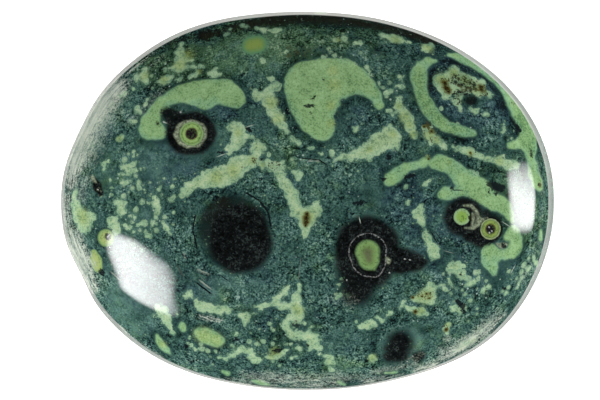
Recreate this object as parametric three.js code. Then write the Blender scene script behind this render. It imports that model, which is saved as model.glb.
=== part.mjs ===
// A polished kambaba jasper palm stone: one solid, smooth, egg-round pebble that lies on its flatter side.
// Millimetres, +Z up. The origin is on the table under the middle of the stone, +X runs along its length.
import * as THREE from "three";

// The stone's overall size.
const LENGTH = 68;
const WIDTH = 52.2;
const THICKNESS = 24;

// Height of the girth, the widest line round the stone, above the table.
const GIRTH_HEIGHT = 10.8;

// The outline seen from above is a superellipse: 2 is a plain ellipse, more is squarer.
const OUTLINE_POWER = 2.08;

// Hand grinding left the outline a little uneven: low swells and dents, each at an angle in degrees
// counterclockwise from +X, with its height outwards in mm and how far it spreads in degrees.
const SWELLS = [
  { at: 127, height: 0.62, spread: 20 },
  { at: 322, height: 0.8, spread: 18 },
  { at: 226, height: 0.5, spread: 20 },
  { at: 163, height: -0.4, spread: 8 },
  { at: 198, height: -0.45, spread: 6 },
];

// The face above the girth is a low dome, whose highest point stands a little off the middle.
const DOME_POWER = 2.2;
const CROWN = { x: 2.5, y: 1 };

// The face below it is rounder at the edge and ends in a flat seat, a share of the outline in size.
const UNDERSIDE_POWER = 2;
const SEAT_SHARE = 0.42;

// The swells and dents fade out from the girth towards the middle of each face, by this power of the way out.
const SWELL_FADE = 3;

// Rings of facets from the middle of each face out to the girth; the seat is the innermost few rings.
const DOME_RINGS = 22;
const UNDERSIDE_RINGS = 16;
const SEAT_RINGS = 5;

const STONE_COLOUR = 0x35524c;
const POLISH_ROUGHNESS = 0.12;

// How far a swell or dent moves the outline at an angle, all angles in degrees.
function swellAt(angle, { at, height, spread }) {
  const away = ((((angle - at) % 360) + 540) % 360) - 180;
  return height * Math.exp(-((away / spread) ** 2));
}

// How far a point lies from the middle, at an angle in radians and a share of the way out to the girth.
function reachAt(angle, out) {
  const along = Math.abs(Math.cos(angle)) / (LENGTH / 2);
  const across = Math.abs(Math.sin(angle)) / (WIDTH / 2);
  const smooth = (along ** OUTLINE_POWER + across ** OUTLINE_POWER) ** (-1 / OUTLINE_POWER);
  const degrees = THREE.MathUtils.radToDeg(angle);
  const swell = SWELLS.reduce((sum, each) => sum + swellAt(degrees, each), 0);
  return out * (smooth + swell * out ** SWELL_FADE);
}

// A superellipse's quarter arc: how far out and how high, both 0 to 1, a share of the way to its end.
function quarterArc(share, power) {
  const turn = (share * Math.PI) / 2;
  return { out: Math.sin(turn) ** (2 / power), up: Math.cos(turn) ** (2 / power) };
}

// A ring of the dome, from the crown (share 0) to the girth (share 1).
function domeRing(share) {
  const { out, up } = quarterArc(share, DOME_POWER);
  return {
    out,
    height: GIRTH_HEIGHT + (THICKNESS - GIRTH_HEIGHT) * up,
    shift: 1 - out ** 2,
  };
}

// A ring of the underside, from the middle of the seat (share 0) to the girth (share 1).
function undersideRing(share) {
  const seatShare = SEAT_RINGS / UNDERSIDE_RINGS;
  if (share <= seatShare) return { out: (share / seatShare) * SEAT_SHARE, height: 0, shift: 0 };
  const { out, up } = quarterArc((share - seatShare) / (1 - seatShare), UNDERSIDE_POWER);
  return {
    out: SEAT_SHARE + (1 - SEAT_SHARE) * out,
    height: GIRTH_HEIGHT * (1 - up),
    shift: 0,
  };
}

// One face as concentric square rings of points: ring k has 8k points, which spaces the facets evenly.
function facePoints(rings, ringAt) {
  const points = [];
  for (let ring = 0; ring <= rings; ring += 1) {
    const { out, height, shift } = ringAt(ring / rings);
    const count = Math.max(1, 8 * ring);
    for (let i = 0; i < count; i += 1) {
      const angle = (2 * Math.PI * i) / count;
      const reach = reachAt(angle, out);
      points.push([
        reach * Math.cos(angle) + CROWN.x * shift,
        reach * Math.sin(angle) + CROWN.y * shift,
        height,
      ]);
    }
  }
  return points;
}

// Joins two closed rings of points with triangles, stepping along whichever ring is behind.
function bridge(faces, inner, innerCount, outer, outerCount) {
  let i = 0;
  let o = 0;
  while (i < innerCount || o < outerCount) {
    const stepOuter = i === innerCount || (o < outerCount && (o + 1) * innerCount <= (i + 1) * outerCount);
    const a = inner + (i % innerCount);
    const b = outer + (o % outerCount);
    if (stepOuter) {
      faces.push([a, b, outer + ((o + 1) % outerCount)]);
      o += 1;
    } else {
      faces.push([a, b, inner + ((i + 1) % innerCount)]);
      i += 1;
    }
  }
}

// The whole stone as one closed mesh: the dome, the underside, and the girth ring that they share.
function stoneGeometry() {
  const girthCount = 8 * DOME_RINGS;
  const dome = facePoints(DOME_RINGS, domeRing);
  const underside = facePoints(UNDERSIDE_RINGS, undersideRing);
  underside.length -= 8 * UNDERSIDE_RINGS;

  const faces = [];
  const ringStart = (ring) => (ring === 0 ? 0 : 1 + 4 * ring * (ring - 1));
  const ringCount = (ring) => Math.max(1, 8 * ring);
  for (let ring = 0; ring < DOME_RINGS; ring += 1) {
    if (ring === 0) {
      for (let i = 0; i < 8; i += 1) faces.push([0, 1 + i, 1 + ((i + 1) % 8)]);
    } else {
      bridge(faces, ringStart(ring), ringCount(ring), ringStart(ring + 1), ringCount(ring + 1));
    }
  }

  const below = [];
  const offset = dome.length;
  for (let ring = 0; ring < UNDERSIDE_RINGS; ring += 1) {
    const isLast = ring === UNDERSIDE_RINGS - 1;
    const inner = offset + ringStart(ring);
    const outer = isLast ? ringStart(DOME_RINGS) : offset + ringStart(ring + 1);
    const outerCount = isLast ? girthCount : ringCount(ring + 1);
    if (ring === 0) {
      for (let i = 0; i < 8; i += 1) below.push([offset, offset + 1 + i, offset + 1 + ((i + 1) % 8)]);
    } else {
      bridge(below, inner, ringCount(ring), outer, outerCount);
    }
  }
  below.forEach(([a, b, c]) => faces.push([a, c, b]));

  const geometry = new THREE.BufferGeometry();
  geometry.setAttribute("position", new THREE.Float32BufferAttribute([...dome, ...underside].flat(), 3));
  geometry.setIndex(faces.flat());
  geometry.computeBoundingBox();
  const { min, max } = geometry.boundingBox;
  geometry.translate(-(min.x + max.x) / 2, -(min.y + max.y) / 2, 0);
  geometry.computeVertexNormals();
  return geometry;
}

const polishedJasper = new THREE.MeshStandardMaterial({
  color: STONE_COLOUR,
  roughness: POLISH_ROUGHNESS,
  metalness: 0,
});

const stone = new THREE.Mesh(stoneGeometry(), polishedJasper);
stone.name = "kambaba_palm_stone";

const part = new THREE.Group();
part.name = "kambaba_jasper";
part.add(stone);

export default part;
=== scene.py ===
# %% [markdown]
# # A polished kambaba jasper palm stone
# Kambaba jasper is a dark teal rock with black orbs, green crescents and pale ragged patches. This lesson
# dresses one tumbled and polished palm stone of it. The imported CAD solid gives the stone's size and place.
# The stone is shaped again here on a finer mesh, because its markings are carried by the mesh's points.

import bpy
import numpy as np
from mathutils import Matrix, Vector


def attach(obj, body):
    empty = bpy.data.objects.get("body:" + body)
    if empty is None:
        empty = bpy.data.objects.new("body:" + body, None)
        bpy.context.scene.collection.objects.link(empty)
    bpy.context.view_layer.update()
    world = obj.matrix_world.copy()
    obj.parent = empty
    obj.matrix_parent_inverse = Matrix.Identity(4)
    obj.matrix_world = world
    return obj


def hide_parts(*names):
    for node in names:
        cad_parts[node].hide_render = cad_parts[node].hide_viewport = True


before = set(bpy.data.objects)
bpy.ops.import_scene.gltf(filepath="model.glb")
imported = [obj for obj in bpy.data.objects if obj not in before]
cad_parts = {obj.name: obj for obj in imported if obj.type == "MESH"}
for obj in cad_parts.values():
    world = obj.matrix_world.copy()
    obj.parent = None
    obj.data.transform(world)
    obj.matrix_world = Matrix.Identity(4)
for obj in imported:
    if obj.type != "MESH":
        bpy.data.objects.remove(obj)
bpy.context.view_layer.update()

# %% [markdown]
# ## The camera
# The photograph looks straight down on the stone. Everything below is worked out in millimetres, seen from
# above, with +X to the right and +Y up in the picture. A long lens is used, because the stone's face shows
# no perspective. The picture's middle lies a little to the left of the stone's.

# %% Camera
MM = 0.001
GIRTH_HEIGHT = 10.8          # the widest line round the stone, above the table
PICTURE_WIDTH = 82.6         # how much of the table the picture shows, at the girth's height
PICTURE_MIDDLE = (-1.03, 0.14)
CAMERA_RISE = 450.0          # from the girth up to the lens

scene = bpy.context.scene
camera_data = bpy.data.cameras.new("camera")
camera_data.sensor_width = 36.0
camera_data.lens = camera_data.sensor_width * CAMERA_RISE / PICTURE_WIDTH
camera = bpy.data.objects.new("camera", camera_data)
camera.location = Vector((*PICTURE_MIDDLE, GIRTH_HEIGHT + CAMERA_RISE)) * MM
scene.collection.objects.link(camera)
scene.camera = camera
print("lens in mm:", round(camera_data.lens, 1))

# %% [markdown]
# ## The stone's form
# The real stone was ground and tumbled by hand, so it is nearly an ellipse with low swells and dents. Its
# form could be sculpted, but a formula keeps it equal to the CAD solid: an outline seen from above, carried
# round a profile that runs from the crown over the girth to the flat seat. The rings of points stand at
# equal steps along the profile. They are closer above the girth, where the photograph shows the markings.
#
# Grinding also left a narrow belt above the girth, nearly upright, a fraction of a millimetre inside the
# solid. It mirrors the white table, which is the pale line round the stone in the photograph.

# %% Outline and profile
LENGTH, WIDTH, THICKNESS = 68.0, 52.2, 24.0
OUTLINE_POWER = 2.08
SWELLS = [(127, 0.62, 20), (322, 0.8, 18), (226, 0.5, 20), (163, -0.4, 8), (198, -0.45, 6)]
DOME_POWER = 2.2
CROWN = (2.5, 1.0)
SEAT_SHARE = 0.42
SWELL_FADE = 3                             # the swells fade in with this power of the way out
# how wide the belt looks in the photograph: at an angle in degrees, in mm
BELT_WIDTHS = [
    (0, .78), (25, .68), (42, .54), (60, .45), (90, .38), (105, .5), (115, .52), (135, .62), (150, .5),
    (160, .48), (195, .5), (212, .62), (228, .45), (245, .28), (262, .14), (285, .14), (305, .28),
    (322, .42), (336, .58), (345, .7),
]


def reach(angle, out):
    """The radius at an angle and a share of the way out: a superellipse's, plus a bell curve per swell."""
    along, across = np.abs(np.cos(angle)) / (LENGTH / 2), np.abs(np.sin(angle)) / (WIDTH / 2)
    smooth = (along**OUTLINE_POWER + across**OUTLINE_POWER) ** (-1 / OUTLINE_POWER)
    swell = sum(
        height * np.exp(-((((np.degrees(angle) - at) % 360 + 540) % 360 - 180) / spread) ** 2)
        for at, height, spread in SWELLS
    )
    return out * (smooth + swell * out**SWELL_FADE)


def profile(samples=1500):
    """Crown to girth is a superellipse's quarter arc, girth to seat a round one, and the seat is straight.

    Returns how far out (0 to 1), the height, the crown's share of the sideways shift, the length so far and
    the number of the girth's sample."""
    turn = np.linspace(0, np.pi / 2, samples)
    dome_out, dome_up = np.sin(turn) ** (2 / DOME_POWER), np.cos(turn) ** (2 / DOME_POWER)
    below_out = SEAT_SHARE + (1 - SEAT_SHARE) * np.cos(turn)
    out = np.concatenate([dome_out, below_out[1:], np.linspace(SEAT_SHARE, 0, samples)[1:]])
    height = np.concatenate([
        GIRTH_HEIGHT + (THICKNESS - GIRTH_HEIGHT) * dome_up,
        GIRTH_HEIGHT * (1 - np.sin(turn[1:])),
        np.zeros(samples - 1),
    ])
    shift = np.concatenate([1 - dome_out**2, np.zeros(2 * samples - 2)])
    mean_radius = (LENGTH + WIDTH) / 4
    steps = np.hypot(np.diff(out) * mean_radius, np.diff(height))
    return out, height, shift, np.concatenate([[0], np.cumsum(steps)]), samples - 1


out_at, height_at, shift_at, length_at, girth_sample = profile()
print("profile length in mm, to the girth and in all:", length_at[girth_sample], length_at[-1])


def belt_slope(angle):
    """How far in the belt leans for each mm of height. It ends where the dome looks as far in as it is wide.

    The dome looks in by reach(1) - reach(out), less the crown's shift, less the slant of the camera's ray
    times the height above the girth."""
    turn = np.radians(np.arange(0, 360, 3))[:, None]
    way = np.concatenate([np.cos(turn), np.sin(turn)], axis=1)
    out, shift = out_at[girth_sample:0:-1], shift_at[girth_sample:0:-1]
    above = height_at[girth_sample:0:-1] - GIRTH_HEIGHT
    inset = reach(turn, 1.0) - reach(turn, out)
    slant = (reach(turn, 1.0) - (way @ PICTURE_MIDDLE)[:, None]) / CAMERA_RISE
    looks_in = inset - (way @ CROWN)[:, None] * shift - slant * above
    degrees, widths = zip(*BELT_WIDTHS)
    end = np.argmax(looks_in >= np.interp(np.degrees(turn), degrees, widths, period=360), axis=1)
    return np.interp(angle, turn[:, 0], inset[np.arange(len(end)), end] / above[end], period=2 * np.pi)


print("belt's slopes:", np.round(belt_slope(np.radians(np.arange(0, 360, 45))), 2))

# %% Rings of points
DOME_STEP, BELOW_STEP = 0.268, 0.46        # mm between rings, and nearly between the points of a ring
AROUND_SHARE = 0.84                        # a ring's points stand this much closer than its neighbours
BELT_ROUNDING = 0.02                       # mm of rounding at the belt's top edge, per mm above the girth

dome_rings = round(length_at[girth_sample] / DOME_STEP)
below_rings = round((length_at[-1] - length_at[girth_sample]) / BELOW_STEP)
places = np.concatenate([
    np.linspace(0, length_at[girth_sample], dome_rings + 1),
    np.linspace(length_at[girth_sample], length_at[-1], below_rings + 1)[1:],
])
ring_out, ring_height, ring_shift = (np.interp(places, length_at, v) for v in (out_at, height_at, shift_at))
ring_step = np.where(np.arange(len(places)) <= dome_rings, DOME_STEP, BELOW_STEP) * AROUND_SHARE
girth_length = np.pi * (LENGTH + WIDTH) / 2
ring_count = np.maximum(1, np.round(girth_length * ring_out / ring_step).astype(int))
ring_count[[0, -1]] = 1
ring_start = np.concatenate([[0], np.cumsum(ring_count)[:-1]])


def soft_least(a, b, width):
    """The lesser of two numbers, less width * log(1 + exp(-|a - b| / width)) to round off their crossing."""
    return np.minimum(a, b) - width * np.log1p(np.exp(-np.abs(a - b) / width))


def stone_points():
    """Point i of a ring is at i equal turns, where the outline or the belt is, plus the crown's shift."""
    ring = np.repeat(np.arange(len(places)), ring_count)
    angle = 2 * np.pi * (np.arange(len(ring)) - ring_start[ring]) / ring_count[ring]
    radius = reach(angle, ring_out[ring])
    above = np.clip(ring_height[ring] - GIRTH_HEIGHT, 0, None)
    belt = reach(angle, 1.0) - belt_slope(angle) * above
    rounding = BELT_ROUNDING * np.clip(above, 0.05, 1)
    radius = np.where(above > 0, soft_least(radius, belt, rounding), radius)
    x = radius * np.cos(angle) + CROWN[0] * ring_shift[ring]
    y = radius * np.sin(angle) + CROWN[1] * ring_shift[ring]
    points = np.stack([x, y, ring_height[ring]], axis=1)
    points[:, :2] -= (points[:, :2].min(axis=0) + points[:, :2].max(axis=0)) / 2
    return points


points = stone_points()
dome_points = ring_start[dome_rings + 1]
print("points:", len(points), "rings:", len(places))

# %% Triangles between rings
def bridge(first, second):
    """Each edge of either ring makes a triangle with the point of the other ring that its middle faces."""
    m, n = ring_count[first], ring_count[second]
    i, j = np.arange(m), np.arange(n)
    facing_i = np.ceil((j + 0.5) * m / n - 0.5).astype(int) % m
    facing_j = np.floor((i + 0.5) * n / m + 0.5).astype(int) % n
    a, b = ring_start[first], ring_start[second]
    over_second = np.stack([a + facing_i, b + j, b + (j + 1) % n], axis=1)
    over_first = np.stack([a + i, b + facing_j, a + (i + 1) % m], axis=1)
    return np.concatenate([over_second[: n if n > 1 else 0], over_first[: m if m > 1 else 0]])


triangles = np.concatenate([bridge(k, k + 1) for k in range(len(places) - 1)])
print("triangles:", len(triangles))

# %% [markdown]
# ## From the picture to the face
# Places on the stone are given as the camera sees them. A point high on the dome is nearer to the lens, so
# it is seen further from the picture's middle than a point at the girth. Each mark is lifted on to the face
# by looking for the point of the mesh that is seen at its place.

# %% From the picture to the stone's face
lens_share = CAMERA_RISE / (CAMERA_RISE - (points[:, 2:] - GIRTH_HEIGHT))
seen = np.array(PICTURE_MIDDLE) + (points[:, :2] - PICTURE_MIDDLE) * lens_share


def lift(marks):
    """The face's own points that the camera sees at the given x, y, in mm at the girth's height."""
    wanted = np.array([mark[:2] for mark in marks], float)[:, None]
    return points[:dome_points][((seen[None, :dome_points] - wanted) ** 2).sum(axis=2).argmin(axis=1)]


def on_face(marks):
    """Strokes in the picture's plane, as lists of (x, y, radius), lifted on to the stone's face."""
    return [(lift(mark), np.array([radius for _, _, radius in mark])) for mark in marks]


print("points on the face:", dome_points)

# %% [markdown]
# ## Small unevenness
# A hand-polished stone isn't a perfect dome. Low waves a few hundredths of a millimetre deep make the
# highlights wander, and a few spots have chipped out to shallow pits. Both are real shape, so they move
# points along the surface's normal. The waves are sums of sines in odd directions, and each pit is a bell
# curve.

# %% Waves and pits
rng = np.random.default_rng(23)


def normals_of(corner_points):
    """A point's normal is the sum of its triangles' area vectors, made one long."""
    a, b, c = (corner_points[triangles[:, k]] for k in range(3))
    area = np.cross(b - a, c - a)
    total = np.zeros_like(corner_points)
    for k in range(3):
        for axis in range(3):
            total[:, axis] += np.bincount(triangles[:, k], weights=area[:, axis], minlength=len(total))
    return total / np.linalg.norm(total, axis=1, keepdims=True)


def waves(where, wavelength, count):
    """The mean of sine waves that run in random directions, all of one wavelength in mm."""
    directions = rng.normal(size=(count, 3))
    directions *= 2 * np.pi / wavelength / np.linalg.norm(directions, axis=1, keepdims=True)
    return np.sin(where @ directions.T + rng.uniform(0, 2 * np.pi, count)).mean(axis=1)


# x, y, radius, depth, in mm
PITS = [
    (29.1, 10.1, 0.5, 0.12), (-29.2, 2.5, 0.4, 0.2), (-28.8, 1.3, 0.45, 0.22), (22.8, 13.6, 0.7, 0.1),
    (21.1, -14.4, 0.35, 0.12), (21.4, -15.1, 0.35, 0.12), (-8.0, 9.8, 0.35, 0.08), (-12.1, 6.6, 0.4, 0.05),
    (-4.5, -20.8, 0.5, 0.08),
]
# depth and length in mm, and the number of sines
WAVES = [(0.035, 9.0, 14), (0.012, 3.2, 20)]
SEAT_HEIGHT = 0.02              # points below it are the flat seat's, and stay where they are
SINK = 0.05                     # all others lie this much deeper, so no wave stands out of the solid

normals = normals_of(points)
rise = sum(depth * waves(points, length, count) for depth, length, count in WAVES)
for (_, _, radius, depth), centre in zip(PITS, lift(PITS)):
    rise -= depth * np.exp(-((points - centre) ** 2).sum(axis=1) / radius**2)
rise = np.where(points[:, 2] < SEAT_HEIGHT, 0.0, rise - SINK)
shaped = points + normals * rise[:, None]
shaped[:, 2] = np.maximum(shaped[:, 2], 0.0)
print("unevenness in mm:", rise.min(), rise.max())

# %% The stone's mesh
mesh = bpy.data.meshes.new("palm_stone")
mesh.from_pydata(shaped * MM, [], triangles)
mesh.polygons.foreach_set("use_smooth", np.ones(len(triangles), bool))
mesh.update()
stone = bpy.data.objects.new("palm_stone", mesh)
scene.collection.objects.link(stone)
print("faces of the stone's mesh:", len(mesh.polygons))

# %% [markdown]
# ## Where the markings are
# The markings grew through the rock as balls, shells and veins, and the polished face cuts through them.
# A picture can't be used, and noise alone wouldn't put them where they are. So each marking is a stroke: a
# chain of balls on the surface, each given by its place in the picture's plane and its radius. A point of
# the mesh knows its distance from the nearest stroke's edge, measured through space, and the material turns
# the line where that distance is nought into a crisp edge. Places and radii were read off the photograph.

# %% Strokes
RIM_SQUASH = 0.45        # height counts this much in a distance, as marks near the rim look foreshortened
REACH_MM = 3.0           # distances are only worked out this near to a stroke
# chains melt together over these widths in mm: the smooth bands most, the finest marks least
SMOOTH, RAGGED, FINE = 0.25, 0.12, 0.1


def stroke_distance(strokes, blend, squash=1.0):
    """Distance to a chain's edge: to the nearest place on the line between two balls, less the radius there.

    Chains melt together: the result is minus blend times the log of the sum of exp(-distance / blend)."""
    total = np.full(len(points), np.exp(-REACH_MM / blend))
    for centres, radii in strokes:
        centre = centres.mean(axis=0)
        spread = np.linalg.norm(centres - centre, axis=1).max() + radii.max() + REACH_MM
        near = np.flatnonzero(np.linalg.norm((points - centre) * (1, 1, squash), axis=1) < spread)
        for k in range(max(1, len(centres) - 1)):
            a, b = centres[k], centres[min(k + 1, len(centres) - 1)]
            radius_a, radius_b = radii[k], radii[min(k + 1, len(centres) - 1)]
            along = (b - a) * (1, 1, squash)
            away = (points[near] - a) * (1, 1, squash)
            share = np.clip(away @ along / max(along @ along, 1e-9), 0, 1)
            distance = np.linalg.norm(away - share[:, None] * along, axis=1) - radius_a
            total[near] += np.exp(-(distance - share * (radius_b - radius_a)) / blend)
    return -blend * np.log(total)


print("distances reach", REACH_MM, "mm, and the face's count", RIM_SQUASH, "of the height")

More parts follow.
